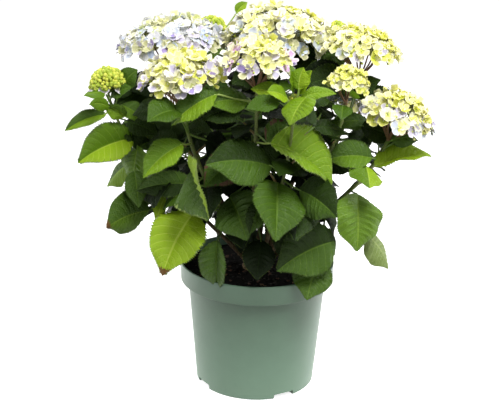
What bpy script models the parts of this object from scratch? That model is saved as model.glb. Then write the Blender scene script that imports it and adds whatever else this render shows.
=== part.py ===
"""A mophead hydrangea in full leaf and bloom, growing in its nursery pot.

Metres, +Z up. The origin is the middle of the pot's flat underside, and the
plant's front faces -Y. Headings are degrees seen from above: 0 is +X, 90 is +Y.

Fourteen shoots rise from one woody crown. Each is three solids that meet end to
end: a tapering stem, a mass of foliage whose own stem carries on from it, and a
flower head on its stalk. Leaves stand in opposite pairs. Some have a place of
their own, and the rest follow a seeded rule that skips any leaf without room.
"""
import math
import random
from collections import namedtuple

import bmesh
import bpy
from mathutils import Matrix, Vector
from mathutils.bvhtree import BVHTree

MM = 0.001
UP = Vector((0, 0, 1))
GAP = 0.3 * MM              # clearance between solids that meet
SEED = 27

# Pot
POT_HEIGHT = 0.190
POT_RIM_RADIUS = 0.115      # outside of the collar
POT_COLLAR_DROP = 0.029     # the collar's depth below the lip
POT_SHOULDER_RADIUS = 0.103
POT_FOOT_RADIUS = 0.0893
POT_WALL = 0.0022
POT_FLOOR = 0.003
POT_EDGE = 0.0008           # bevel along the lip and the foot
COLLAR_TAPER = 0.0007       # the collar is this much narrower at its foot
COLLAR_STEP = 0.004         # height of the ledge inside the collar
POT_SEGMENTS = 40
NOTCH_COUNT = 4
NOTCH_FIRST = -60           # heading of the notch right of the front
NOTCH_WIDTH = 0.033
NOTCH_HEIGHT = 0.0075
NOTCH_DEPTH = 0.016

# Soil and woody crown
SOIL_TOP = 0.175
SOIL_DOME = 0.004           # the soil is heaped this much in the middle
SOIL_HEAP_RADIUS = 0.062
SOIL_GAP = 0.0015           # between the soil and the pot's faceted wall
CROWN_RADIUS = 0.0275
CROWN_FOOT = 0.148          # flat cut in the soil
CROWN_TOP = 0.184
STUB_TOP = 0.193

# Shoots: heading and reach place the flower head's base over the pot
FOOT_RINGS = {"inner": (0.0108, -14), "outer": (0.0215, 30)}    # radius, first heading
STEM_FOOT_RADIUS = 0.0042
STEM_TIP_RADIUS = 0.0022
FORK_DROP = (0.008, 0.16)   # from a head's base down to its fork: least, and share of width
STALK_LENGTH = {"mophead": 0.020, "bud": 0.009}     # bare stalk under a flower head

Shoot = namedtuple("Shoot", "name ring heading reach height lean split bloom width dome")
SHOOTS = (
    Shoot("right_back", "inner", 0, 0.144, 0.497, 8, 0.300, "mophead", 0.116, 0.044),
    Shoot("far", "inner", 49, 0.172, 0.512, 4, 0.310, "bud", 0.026, 0.014),
    Shoot("centre_back", "inner", 74, 0.088, 0.503, 4, 0.300, "mophead", 0.162, 0.057),
    Shoot("back", "inner", 116, 0.178, 0.500, 6, 0.300, "bud", 0.048, 0.020),
    Shoot("left_back", "inner", 153, 0.158, 0.494, 8, 0.300, "mophead", 0.156, 0.047),
    Shoot("front", "inner", 267, 0.110, 0.498, 5, 0.245, "mophead", 0.100, 0.043),
    Shoot("right_inner", "inner", 326, 0.143, 0.469, 8, 0.245, "mophead", 0.060, 0.031),
    Shoot("rear_right", "outer", 48, 0.200, 0.385, 18, 0.240, "mophead", 0.096, 0.042),
    Shoot("rear", "outer", 90, 0.200, 0.435, 12, 0.240, "mophead", 0.116, 0.048),
    Shoot("rear_left", "outer", 134, 0.200, 0.405, 16, 0.240, "mophead", 0.100, 0.043),
    Shoot("left", "outer", 182, 0.221, 0.456, 10, 0.265, "bud", 0.055, 0.026),
    Shoot("left_front", "outer", 216, 0.136, 0.468, 8, 0.245, "mophead", 0.118, 0.051),
    Shoot("young", "outer", 288, 0.146, 0.470, 6, 0.265, "leafy", 0.0, 0.0),
    Shoot("right_front", "outer", 345, 0.195, 0.418, 18, 0.265, "mophead", 0.106, 0.047),
)
FLORETS = ((0.130, 22), (0.090, 15), (0.050, 10), (0.0, 6))     # head width at least, count
LEAFY_BUD = (0.009, 0.009)  # radius and height of a leafy shoot's end bud
FLORET_REACH = 1.12         # florets cover a dome's top and go this share over its rim
RAYS = {"mophead": (3, 0.45), "bud": (1, 0.0)}      # count, and spread over the head's radius
RAY_RADII = (0.0018, 0.0015)

# Leaves
LEAF_THICKNESS = 0.0019
LEAF_FOLD = 16              # degrees that each half stands up from the midrib
LEAF_RATIO = 0.66           # width over length
LEAF_ARCH = 34              # degrees that a blade bends down along its length
STALK_RADIUS = 0.0014
ROOT_OFFSET = 0.0008        # a stalk starts this far from its stem's middle
ROOT_CLEAR = 0.0065         # and this far out it touches nothing of its own mass
BLADE_STATIONS = {"placed": (0.13, 0.38, 0.70), "grown": (0.20, 0.60)}
PAIR_SPACING = 0.054
CLEARANCE = 0.0007
TWIG_SHARE = 0.25           # of a mass's leaf pairs, those with a side twig above one leaf
TWIG_LENGTH = (0.030, 0.055)
TWIG_RADII = (0.0019, 0.0013)
CROWN_LIMIT = ((0.0, 0.0, 0.345), (0.262, 0.262, 0.235))      # ellipsoid centre, half sizes

# Leaves with a place of their own, by shoot: the height on the stem, the leaf
# stalk's heading, rise and length, then the blade's heading, rise, length, width
# and roll about its midrib. Sizes are millimetres, angles degrees.
PLACED = {
    "left": (
        (424, -115, -15, 20, -160, -25, 62, 44, -45),
        (420, -100, 35, 34, -160, 10, 33, 20, -25),
        (415, 85, 20, 34, 35, 40, 44, 26, 60),
        (365, -90, 5, 29, -150, -10, 82, 72, -70),
        (410, -60, 20, 40, -135, 15, 37, 34, -70),
        (297, -125, -5, 38, -150, -25, 86, 66, -65),
        (355, -90, -15, 55, -75, -50, 57, 34, 15),
        (340, 140, -15, 18, 175, -40, 64, 38, -60),
        (300, -95, 5, 60, -110, -45, 43, 22, -60),
    ),
    "left_front": (
        (400, -95, 40, 49, -140, 10, 62, 48, -45),
        (385, -105, 10, 52, -145, -30, 68, 50, -45),
        (335, -120, 15, 31, -155, -10, 74, 48, -60),
        (362, -90, 15, 36, -75, -50, 77, 52, 28),
        (285, -125, 0, 62, -120, -35, 100, 78, -22),
        (265, -105, -10, 68, -85, -50, 66, 44, 0),
        (402, -90, 50, 47, 0, 15, 44, 34, 40),
    ),
    "front": (
        (395, -65, 5, 42, -15, -25, 97, 68, 60),
        (375, -130, 5, 26, -160, -35, 68, 50, -55),
        (410, -55, -20, 29, 0, 55, 59, 42, 60),
        (285, -80, -25, 58, -100, -50, 61, 52, 0),
        (340, -145, -20, 34, -65, -60, 73, 60, 10),
    ),
    "young": (
        (356, -120, 25, 36, -160, 10, 93, 68, -68),
        (335, -105, 5, 29, -85, -40, 86, 76, 0),
        (345, -25, 0, 25, -20, -35, 67, 46, 50),
        (440, -95, 62, 30, -140, 25, 42, 32, -45),
        (452, -75, 60, 36, 0, 80, 30, 28, 70),
        (440, -40, 58, 33, -20, 15, 50, 32, 45),
        (430, -75, 55, 40, -85, -35, 38, 30, 10),
    ),
    "right_inner": (
        (290, -50, -20, 63, -130, -20, 108, 74, -58),
        (412, -85, 60, 44, -95, -20, 35, 28, -10),
    ),
    "right_front": (
        (312, -70, -5, 26, -90, -45, 88, 74, 0),
        (290, 15, -20, 51, -25, -65, 89, 44, 10),
        (362, -110, 20, 34, -145, -10, 64, 48, -60),
        (325, -80, 45, 50, -70, -25, 48, 42, 20),
        (358, -70, -5, 17, 0, 10, 73, 48, 55),
        (275, -105, -20, 63, -100, -45, 92, 60, -10),
    ),
    "right_back": (
        (405, 0, -5, 35, -160, 10, 62, 40, -40),
        (385, 0, 10, 47, -140, -15, 64, 40, -70),
        (372, -85, 0, 37, -55, -55, 53, 46, 30),
    ),
    "back": (
        (400, -70, 5, 37, -40, -15, 65, 42, 50),
    ),
    "left_back": (
        (400, -40, 0, 49, -110, -55, 66, 50, 10),
        (365, -145, 15, 33, -160, -25, 55, 46, -60),
    ),
    "centre_back": (
        (405, -120, 0, 38, -140, -20, 52, 46, -60),
    ),
}

Leaf = namedtuple("Leaf", "kind root stalk_dir stalk heading rise length roll ratio")
Growth = namedtuple("Growth", "leaves twigs")

# What a leaf tries in turn until it has room: a swing, a dip and a share of its size
SWINGS = ((0, 0, 1), (14, 0, 1), (-14, 0, 1), (28, -12, 0.95), (-28, -12, 0.95),
          (0, -25, 0.9), (40, -12, 0.9), (-40, 10, 0.9), (20, -30, 0.85), (-20, 18, 0.85),
          (0, -45, 0.8), (50, -20, 0.75), (-50, -20, 0.75), (0, 30, 0.7), (65, -35, 0.7),
          (-65, -35, 0.7), (30, -50, 0.62), (-30, -50, 0.62))


def direction(heading, rise):
    """The unit vector at a heading and a rise, both in degrees."""
    h, r = math.radians(heading), math.radians(rise)
    return Vector((math.cos(r) * math.cos(h), math.cos(r) * math.sin(h), math.sin(r)))


# ---------------------------------------------------------------- shoots
def shoot_axis(shoot):
    return direction(shoot.heading, 90 - shoot.lean)


def fork_drop(shoot):
    least, share = FORK_DROP
    return least + share * shoot.width


def shoot_foot(shoot):
    """Each ring's feet are spaced evenly, in the order of the shoots' headings."""
    radius, first = FOOT_RINGS[shoot.ring]
    ring = sorted((s.heading, s.name) for s in SHOOTS if s.ring == shoot.ring)
    rank = ring.index((shoot.heading, shoot.name))
    return direction(first + 360 * rank / len(ring), 0) * radius + UP * STUB_TOP


def shoot_curve(shoot):
    """The four control points of a shoot, from the crown to its fork."""
    foot = shoot_foot(shoot)
    axis = shoot_axis(shoot)
    tip = head_centre(shoot) - axis * fork_drop(shoot)
    rise = tip.z - foot.z
    out = Vector((tip.x - foot.x, tip.y - foot.y, 0))
    return foot, foot + out * 0.38 + UP * rise * 0.34, tip - axis * rise * 0.36, tip


def curve_point(curve, t):
    a, b, c, d = curve
    u = 1 - t
    return a * u ** 3 + b * 3 * u * u * t + c * 3 * u * t * t + d * t ** 3


def curve_tangent(curve, t):
    a, b, c, d = curve
    u = 1 - t
    return ((b - a) * u * u + (c - b) * 2 * u * t + (d - c) * t * t).normalized()


def height_to_t(curve, height):
    """Where a rising curve passes a height, by bisection."""
    low, high = 0.0, 1.0
    for _ in range(24):
        middle = (low + high) / 2
        if curve_point(curve, middle).z < height:
            low = middle
        else:
            high = middle
    return low


def stem_radius(shoot, t):
    slim = 0.8 if shoot.bloom != "mophead" else 1.0
    return slim * (STEM_FOOT_RADIUS + (STEM_TIP_RADIUS - STEM_FOOT_RADIUS) * t)


def splits(shoot):
    """Where the stem gives way to the foliage's stem, and that to the flower stalk."""
    curve = shoot_curve(shoot)
    upper = 1.0
    if shoot.bloom != "leafy":
        upper = height_to_t(curve, curve[3].z - STALK_LENGTH[shoot.bloom])
    return height_to_t(curve, shoot.split), upper


# ---------------------------------------------------------------- meshes
def mesh_object(name, bm, collection, material):
    bmesh.ops.recalc_face_normals(bm, faces=bm.faces)
    mesh = bpy.data.meshes.new(name)
    bm.to_mesh(mesh)
    bm.free()
    mesh.materials.append(material)
    made = bpy.data.objects.new(name, mesh)
    collection.objects.link(made)
    return made


def tube(name, points, radii, sides, collection, material):
    """A tapering round limb: a bevelled curve made into a closed mesh."""
    curve = bpy.data.curves.new(name, "CURVE")
    curve.dimensions = "3D"
    curve.bevel_depth = 1.0
    curve.bevel_resolution = (sides - 4) // 2
    curve.use_fill_caps = True
    spline = curve.splines.new("POLY")
    spline.points.add(len(points) - 1)
    for knot, point, radius in zip(spline.points, points, radii):
        knot.co = (*point, 1)
        knot.radius = radius
    source = bpy.data.objects.new(name, curve)
    collection.objects.link(source)
    bpy.context.view_layer.update()
    depsgraph = bpy.context.evaluated_depsgraph_get()
    mesh = bpy.data.meshes.new_from_object(source.evaluated_get(depsgraph))
    bpy.data.objects.remove(source)
    bpy.data.curves.remove(curve)
    bm = bmesh.new()
    bm.from_mesh(mesh)
    bpy.data.meshes.remove(mesh)
    bmesh.ops.remove_doubles(bm, verts=bm.verts, dist=1e-6)
    return mesh_object(name, bm, collection, material)


def limb_points(curve, start, end, count):
    """Points along a curve whose two end runs lie along its tangents."""
    run = 0.002
    points = [curve_point(curve, start + (end - start) * i / (count - 1)) for i in range(count)]
    points.insert(1, points[0] + curve_tangent(curve, start) * run)
    points.insert(-1, points[-1] - curve_tangent(curve, end) * run)
    return points


def limb(name, shoot, start, end, sides, count, lift, collection, material):
    """A stretch of a shoot's stem, whose lower end is lifted clear by GAP."""
    curve = shoot_curve(shoot)
    points = limb_points(curve, start, end, count)
    if lift:
        for i in (0, 1):
            points[i] = points[i] + curve_tangent(curve, start) * GAP
    stops = [start + (end - start) * i / (count - 1) for i in range(count)]
    stops = [stops[0]] + stops + [stops[-1]]
    radii = [stem_radius(shoot, t) for t in stops]
    return tube(name, points, radii, sides, collection, material)


def unite(base, extras):
    """Fuse the extras into the base by one Boolean union, then drop them."""
    union = base.modifiers.new("union", "BOOLEAN")
    union.operation = "UNION"
    union.operand_type = "COLLECTION"
    union.collection = extras
    union.solver = "EXACT"
    bpy.context.view_layer.update()
    depsgraph = bpy.context.evaluated_depsgraph_get()
    fused = bpy.data.meshes.new_from_object(base.evaluated_get(depsgraph))
    base.modifiers.clear()
    base.data = fused
    for extra in list(extras.objects):
        bpy.data.objects.remove(extra)
    bpy.data.collections.remove(extras)
    keep_outer_shell(fused)


def keep_outer_shell(mesh):
    """Drop the small bubbles that a union can leave between roots that cross."""
    bm = bmesh.new()
    bm.from_mesh(mesh)
    shells = []
    left = set(bm.verts)
    while left:
        shell = set()
        front = [left.pop()]
        while front:
            vert = front.pop()
            shell.add(vert)
            near = {edge.other_vert(vert) for edge in vert.link_edges} & left
            left -= near
            front.extend(near)
        shells.append(shell)
    shells.sort(key=len)
    for shell in shells[:-1]:
        bmesh.ops.delete(bm, geom=list(shell), context="VERTS")
    bm.to_mesh(mesh)
    bm.free()


def scratch_collection(name):
    made = bpy.data.collections.new(name)
    bpy.context.scene.collection.children.link(made)
    return made


# ---------------------------------------------------------------- leaves
def blade_point(leaf, base, s):
    """A point and the frame (forward, side, face) at s along an evenly bent blade."""
    arch = math.radians(LEAF_ARCH)
    first = math.radians(leaf.rise) + arch / 2
    pitch = first - arch * s
    size = leaf.length * (arch / 2) / math.sin(arch / 2)
    flat = size * (math.sin(first) - math.sin(pitch)) / arch
    high = size * (math.cos(pitch) - math.cos(first)) / arch
    point = base + direction(leaf.heading, 0) * flat + UP * high
    forward = direction(leaf.heading, math.degrees(pitch))
    side = direction(leaf.heading + 90, 0)
    turn = Matrix.Rotation(math.radians(leaf.roll), 3, forward)
    return point, forward, turn @ side, turn @ forward.cross(side)


def blade_width(leaf, s):
    """Half the width at s: ovate, widest a little below the middle."""
    return leaf.length * leaf.ratio / 2 * math.sin(math.pi * s ** 0.72) ** 0.85


def ring(point, side, face, half, lift, thick):
    """Left margin, top of the midrib, right margin and underside."""
    return (point + side * half + face * lift, point + face * thick / 2,
            point - side * half + face * lift, point - face * thick / 2)


def leaf_rings(leaf, grow=0.0, start=ROOT_OFFSET):
    """The rings of a leaf with its stalk, from the root in the stem to the last station.

    The blade's frame is carried back along the stalk by the smallest turns, untwisted.
    """
    base = leaf.root + leaf.stalk_dir * leaf.stalk
    _, forward, side, face = blade_point(leaf, base, 0.0)
    stem = STALK_RADIUS + grow
    back = forward.rotation_difference(leaf.stalk_dir)
    mitre = forward.rotation_difference((forward + leaf.stalk_dir).normalized())
    rings = [ring(leaf.root + leaf.stalk_dir * start, back @ side, back @ face, stem, 0, stem * 2)]
    rings.append(ring(base, mitre @ side, mitre @ face, stem * 1.2, 0, stem * 1.8))
    fold = math.radians(LEAF_FOLD)
    for s in BLADE_STATIONS[leaf.kind]:
        point, _, side, face = blade_point(leaf, base, s)
        half = blade_width(leaf, s) + grow
        rings.append(ring(point, side, face, half * math.cos(fold), half * math.sin(fold),
                          LEAF_THICKNESS + 2 * grow))
    tip, forward, _, _ = blade_point(leaf, base, 1.0)
    return rings, tip + forward * grow


def loft_faces(count):
    """Quads between consecutive rings of four, a cap at the root and a point at the tip."""
    faces = [(3, 2, 1, 0)]
    for i in range(count - 1):
        for j in range(4):
            k = (j + 1) % 4
            faces.append((4 * i + j, 4 * i + k, 4 * i + 4 + k, 4 * i + 4 + j))
    last = 4 * (count - 1)
    for j in range(4):
        faces.append((last + j, last + (j + 1) % 4, 4 * count))
    return faces


def leaf_polygons(leaf, grow=0.0, start=ROOT_OFFSET):
    rings, tip = leaf_rings(leaf, grow, start)
    points = [p for one in rings for p in one] + [tip]
    return points, loft_faces(len(rings))


def leaf_object(leaf, collection, material):
    points, faces = leaf_polygons(leaf)
    bm = bmesh.new()
    verts = [bm.verts.new(p) for p in points]
    for face in faces:
        bm.faces.new([verts[i] for i in face])
    bmesh.ops.triangulate(bm, faces=bm.faces)
    return mesh_object("leaf", bm, collection, material)


# ---------------------------------------------------------------- room for leaves
def clear_start(leaf):
    """How far along its stalk a leaf has left its stem: further where it rises steeply."""
    across = max(0.2, math.hypot(leaf.stalk_dir.x, leaf.stalk_dir.y))
    return min(ROOT_CLEAR / across, leaf.stalk * 0.8)


class Room:
    """Keeps what has been placed, and says whether another leaf still fits."""

    def __init__(self):
        self.solids = []
        self.leaves = []

    def add_object(self, name, made):
        points = [made.matrix_world @ v.co for v in made.data.vertices]
        faces = [tuple(p.vertices) for p in made.data.polygons]
        self.solids.append((name, BVHTree.FromPolygons(points, faces)))

    def add_dome(self, name, centre, axis, radius, height):
        points, faces = dome_cage(centre, axis, radius, height)
        self.solids.append((name, BVHTree.FromPolygons(points, faces)))

    def add_leaf(self, name, leaf):
        whole = BVHTree.FromPolygons(*leaf_polygons(leaf))
        arm = BVHTree.FromPolygons(*leaf_polygons(leaf, start=clear_start(leaf)))
        self.leaves.append((name, whole, arm))

    def add_twig(self, name, start, end):
        self.solids.append((name, BVHTree.FromPolygons(*twig_cage(start, end, 2 * TWIG_RADII[0]))))

    def fits_twig(self, name, start, end):
        cage = BVHTree.FromPolygons(*twig_cage(start, end, 2 * TWIG_RADII[0] + CLEARANCE))
        solids = [solid for other, solid in self.solids if other != name]
        leaves = [arm if other == name else whole for other, whole, arm in self.leaves]
        return not any(cage.overlap(found) for found in solids + leaves)

    def fits(self, name, leaf):
        whole = BVHTree.FromPolygons(*leaf_polygons(leaf, CLEARANCE))
        arm = BVHTree.FromPolygons(*leaf_polygons(leaf, CLEARANCE, clear_start(leaf)))
        for other, solid in self.solids:
            if (arm if other == name else whole).overlap(solid):
                return False
        for other, other_whole, other_arm in self.leaves:
            if (arm.overlap(other_arm) if other == name else whole.overlap(other_whole)):
                return False
        return True


def twig_cage(start, end, radius):
    """A three-sided closed prism round a twig, for the clearance test."""
    side = (end - start).cross(UP).normalized()
    over = side.cross(end - start).normalized()
    corners = [(side * math.cos(a) + over * math.sin(a)) * radius
               for a in (0, math.tau / 3, math.tau * 2 / 3)]
    points = [start + c for c in corners] + [end + c for c in corners]
    return points, [(0, 2, 1), (3, 4, 5), (0, 1, 4, 3), (1, 2, 5, 4), (2, 0, 3, 5)]


def dome_cage(centre, axis, radius, height):
    """A coarse closed dome that encloses a flower head, for the clearance test."""
    turn = axis.to_track_quat("Z", "Y")
    rows = ((0.80, -0.20), (1.0, 0.05), (0.86, 0.55), (0.48, 0.90))
    points = [centre + turn @ Vector((0, 0, -0.1 * height))]
    for wide, high in rows:
        for i in range(12):
            a = math.tau * i / 12
            spot = Vector((math.cos(a) * wide * radius, math.sin(a) * wide * radius, high * height))
            points.append(centre + turn @ spot)
    points.append(centre + turn @ Vector((0, 0, height)))
    faces = [(0, 1 + (i + 1) % 12, 1 + i) for i in range(12)]
    for row in range(len(rows) - 1):
        for i in range(12):
            a, b = 1 + 12 * row + i, 1 + 12 * row + (i + 1) % 12
            faces.append((a, b, b + 12, a + 12))
    top = 1 + 12 * len(rows)
    faces += [(top - 12 + i, top - 12 + (i + 1) % 12, top) for i in range(12)]
    return points, faces


def inside_crown(leaf):
    """Whether the blade's tip keeps to the crown's outline."""
    base = leaf.root + leaf.stalk_dir * leaf.stalk
    tip = blade_point(leaf, base, 1.0)[0]
    centre, half = CROWN_LIMIT
    reach = sum(((tip[i] - centre[i]) / half[i]) ** 2 for i in range(3))
    return reach < 1 and tip.z > POT_HEIGHT - 0.015


# ---------------------------------------------------------------- growing the leaves
def placed_leaf(shoot, row):
    height, heading, rise, stalk, blade_heading, blade_rise, length, width, roll = row
    root = curve_point(shoot_curve(shoot), height_to_t(shoot_curve(shoot), height * MM))
    return Leaf("placed", root, direction(heading, rise), stalk * MM, blade_heading, blade_rise,
                length * MM, roll, width / length)


def facing_roll(root, heading, rise):
    """The roll that turns a blade's face half way from the sky to the crown's outside."""
    forward = direction(heading, rise)
    outward = Vector((root.x, root.y, 0))
    outward = outward.normalized() if outward.length > 0.01 else direction(heading, 0)
    wish = UP * 0.8 + outward * 0.6
    side = direction(heading + 90, 0)
    face = forward.cross(side)
    return math.degrees(math.atan2(-wish.dot(side), wish.dot(face)))


def rule_leaf(root, heading, rng, attempt, young):
    """A leaf by the rule. Each further attempt turns, dips or shortens it more."""
    swing, dip, size = SWINGS[attempt]
    low = max(0.0, min(1.0, (0.44 - root.z) / 0.18))
    length = (0.068 + 0.026 * low) * size * young * rng.uniform(0.92, 1.08)
    stalk = (0.018 + 0.018 * low) * young * rng.uniform(0.8, 1.3)
    turn = heading + swing + rng.uniform(-9, 9)
    blade_rise = -6 - 26 * low + dip + rng.uniform(-8, 8)
    blade_heading = turn + rng.uniform(-14, 14)
    roll = facing_roll(root, blade_heading, blade_rise) + rng.uniform(-12, 12)
    stalk_rise = 34 - 22 * low + dip * 0.5
    return Leaf("grown", root, direction(turn, stalk_rise), stalk, blade_heading, blade_rise,
                length, roll, LEAF_RATIO * rng.uniform(0.94, 1.04))


def nudged(leaf, attempt):
    """A placed leaf keeps its place, or moves a little where it would touch."""
    if attempt == 0:
        return leaf
    step = 1 + (attempt - 1) // 6
    kind = (attempt - 1) % 6
    heading = leaf.heading + (5 * step, -5 * step, 0, 0, 0, 0)[kind]
    rise = leaf.rise + (0, 0, 5 * step, -5 * step, 0, 0)[kind]
    roll = leaf.roll + (0, 0, 0, 0, 9 * step, -9 * step)[kind]
    return leaf._replace(heading=heading, rise=rise, roll=roll,
                         length=leaf.length * (1 - 0.02 * (step - 1)))


def place_leaves(room, grown):
    """The leaves that have a place of their own."""
    for shoot in SHOOTS:
        node = "foliage_" + shoot.name
        for row in PLACED.get(shoot.name, ()):
            leaf = placed_leaf(shoot, row)
            for attempt in range(25):
                trial = nudged(leaf, attempt)
                if room.fits(node, trial):
                    room.add_leaf(node, trial)
                    grown[shoot.name].leaves.append(trial)
                    break
            else:
                print("no room for placed leaf", shoot.name, row)


def try_leaf(room, shoot, root, heading, rng, size, grown):
    """One leaf by the rule, at the first attempt that has room."""
    for attempt in range(len(SWINGS)):
        trial = rule_leaf(root, heading, rng, attempt, size)
        if inside_crown(trial) and room.fits("foliage_" + shoot.name, trial):
            room.add_leaf("foliage_" + shoot.name, trial)
            grown[shoot.name].leaves.append(trial)
            return True
    return False


def pair_heights(shoot):
    curve = shoot_curve(shoot)
    low, high = splits(shoot)
    start = curve_point(curve, low).z + 0.010
    end = curve_point(curve, high).z - 0.008
    pairs = max(2, round((end - start) / PAIR_SPACING) + 1)
    return [end - (end - start) * pair / (pairs - 1) for pair in range(pairs)]


def grow_pairs(room, grown):
    """Opposite pairs down each stem, each a quarter turn from the last."""
    for order, shoot in enumerate(SHOOTS):
        rng = random.Random(SEED + order)
        curve = shoot_curve(shoot)
        phase = rng.uniform(0, 180)
        taken = [(row[0] * MM, row[1]) for row in PLACED.get(shoot.name, ())]
        for pair, height in enumerate(pair_heights(shoot)):
            root = curve_point(curve, height_to_t(curve, height))
            for heading in (phase + 90 * pair, phase + 90 * pair + 180):
                crowded = any(abs(height - h) < 0.018 and math.cos(math.radians(heading - a)) > 0.3
                              for h, a in taken)
                if not crowded:
                    try_leaf(room, shoot, root, heading, rng, 0.8 if pair == 0 else 1.0, grown)


def grow_twigs(room, grown):
    """Side twigs from some leaf axils, each ending in a pair of smaller leaves."""
    for order, shoot in enumerate(SHOOTS):
        rng = random.Random(SEED + 200 + order)
        curve = shoot_curve(shoot)
        for height in pair_heights(shoot)[1:]:
            if rng.random() > TWIG_SHARE:
                continue
            root = curve_point(curve, height_to_t(curve, height + 0.005))
            for attempt in range(8):
                heading = rng.uniform(0, 360)
                end = root + direction(heading, rng.uniform(25, 50)) * rng.uniform(*TWIG_LENGTH)
                if room.fits_twig("foliage_" + shoot.name, root, end):
                    break
            else:
                continue
            before = len(grown[shoot.name].leaves)
            for back, turn in ((1.0, 70), (1.5, -70), (2.1, 0)):
                node = end - (end - root).normalized() * TWIG_RADII[0] * back
                try_leaf(room, shoot, node, heading + turn, rng, 0.72, grown)
            if len(grown[shoot.name].leaves) > before:
                room.add_twig("foliage_" + shoot.name, root, end)
                grown[shoot.name].twigs.append((root, end))


def grow_foliage(room):
    grown = {shoot.name: Growth([], []) for shoot in SHOOTS}
    place_leaves(room, grown)
    grow_pairs(room, grown)
    grow_twigs(room, grown)
    return grown


# ---------------------------------------------------------------- flower heads
def head_centre(shoot):
    return direction(shoot.heading, 0) * shoot.reach + UP * shoot.height


def floret_directions(count):
    """Directions from a dome's middle to its florets, evenly spread to just under its rim."""
    spots = []
    for k in range(count):
        level = 1 - (k + 0.5) / count * FLORET_REACH
        around = math.tau * k * 0.618034
        flat = math.sqrt(1 - level * level)
        spots.append(Vector((math.cos(around) * flat, math.sin(around) * flat, level)))
    return spots


def blossom_object(centre, axis, radius, height, count, collection, material):
    """A dome of four-lobed florets: lobes stand out, the gaps between them lie deeper."""
    places = []
    half = math.sqrt(2 * FLORET_REACH / count) * 0.60
    for k, spot in enumerate(floret_directions(count)):
        across = spot.orthogonal().normalized()
        along = spot.cross(across)
        places.append((spot, 0.93))
        for i in range(8):
            reach = half * (1.0 if i % 2 == 0 else 0.62)
            a = math.tau * i / 8 + k * 2.4
            rim = (spot + (across * math.cos(a) + along * math.sin(a)) * reach).normalized()
            places.append((rim, 1.0 if i % 2 == 0 else 0.88))
    for k in range(7):
        a = math.tau * k / 7
        places.append((Vector((math.cos(a) * 0.75, math.sin(a) * 0.75, -0.66)), 0.80))
    places.append((Vector((0, 0, -1)), 0.7))
    bm = bmesh.new()
    sizes = {}
    for spot, size in places:
        sizes[bm.verts.new(spot)] = size
    bmesh.ops.convex_hull(bm, input=bm.verts, use_existing_faces=False)
    turn = axis.to_track_quat("Z", "Y")
    for vert in bm.verts:
        high = height if vert.co.z > 0 else height * 0.35
        spot = Vector((vert.co.x * radius, vert.co.y * radius, vert.co.z * high))
        vert.co = centre + turn @ (spot * sizes[vert])
    return mesh_object("blossom", bm, collection, material)


def build_head(shoot, collection, materials):
    """The flower stalk, its forking rays and the dome of florets, as one solid."""
    centre = head_centre(shoot)
    axis = shoot_axis(shoot)
    radius, height = shoot.width / 2, shoot.dome
    count = next(n for least, n in FLORETS if shoot.width >= least)
    material = materials["bud" if shoot.bloom == "bud" else "petal"]
    low = splits(shoot)[1]
    head = limb("bloom_" + shoot.name, shoot, low, 1.0, 6, 2, True, collection, material)
    extras = scratch_collection("head_parts")
    blossom_object(centre, axis, radius, height, count, extras, material)
    fork = centre - axis * (fork_drop(shoot) + 0.003)
    turn = axis.to_track_quat("Z", "Y")
    rays, spread = RAYS[shoot.bloom]
    for k in range(rays):
        a = math.tau * (k + 0.5) / rays
        end = Vector((math.cos(a), math.sin(a), 0)) * radius * spread + UP * height * 0.2
        tube("ray", [fork, centre + turn @ end], RAY_RADII, 4, extras, material)
    unite(head, extras)
    return head


# ---------------------------------------------------------------- pot, soil, crown
def turned(name, profile, segments, collection, material):
    """A solid turned about Z from a profile that runs down its outer side."""
    bm = bmesh.new()
    verts = [bm.verts.new((r, 0, z)) for r, z in profile]
    for a, b in zip(verts, verts[1:]):
        bm.edges.new((a, b))
    mesh = bpy.data.meshes.new(name)
    bm.to_mesh(mesh)
    bm.free()
    mesh.materials.append(material)
    made = bpy.data.objects.new(name, mesh)
    collection.objects.link(made)
    screw = made.modifiers.new("turn", "SCREW")
    screw.axis = "Z"
    screw.angle = math.tau
    screw.steps = segments
    screw.render_steps = segments
    screw.use_merge_vertices = True
    screw.merge_threshold = 1e-5
    return made


def apply_modifiers(made):
    bpy.context.view_layer.update()
    depsgraph = bpy.context.evaluated_depsgraph_get()
    mesh = bpy.data.meshes.new_from_object(made.evaluated_get(depsgraph))
    made.modifiers.clear()
    made.data = mesh


def inner_radius(z):
    """The inside of the pot's wall at a height."""
    shoulder = POT_HEIGHT - POT_COLLAR_DROP
    taper = (POT_SHOULDER_RADIUS - POT_FOOT_RADIUS) / shoulder
    return POT_FOOT_RADIUS + taper * z - POT_WALL


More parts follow.
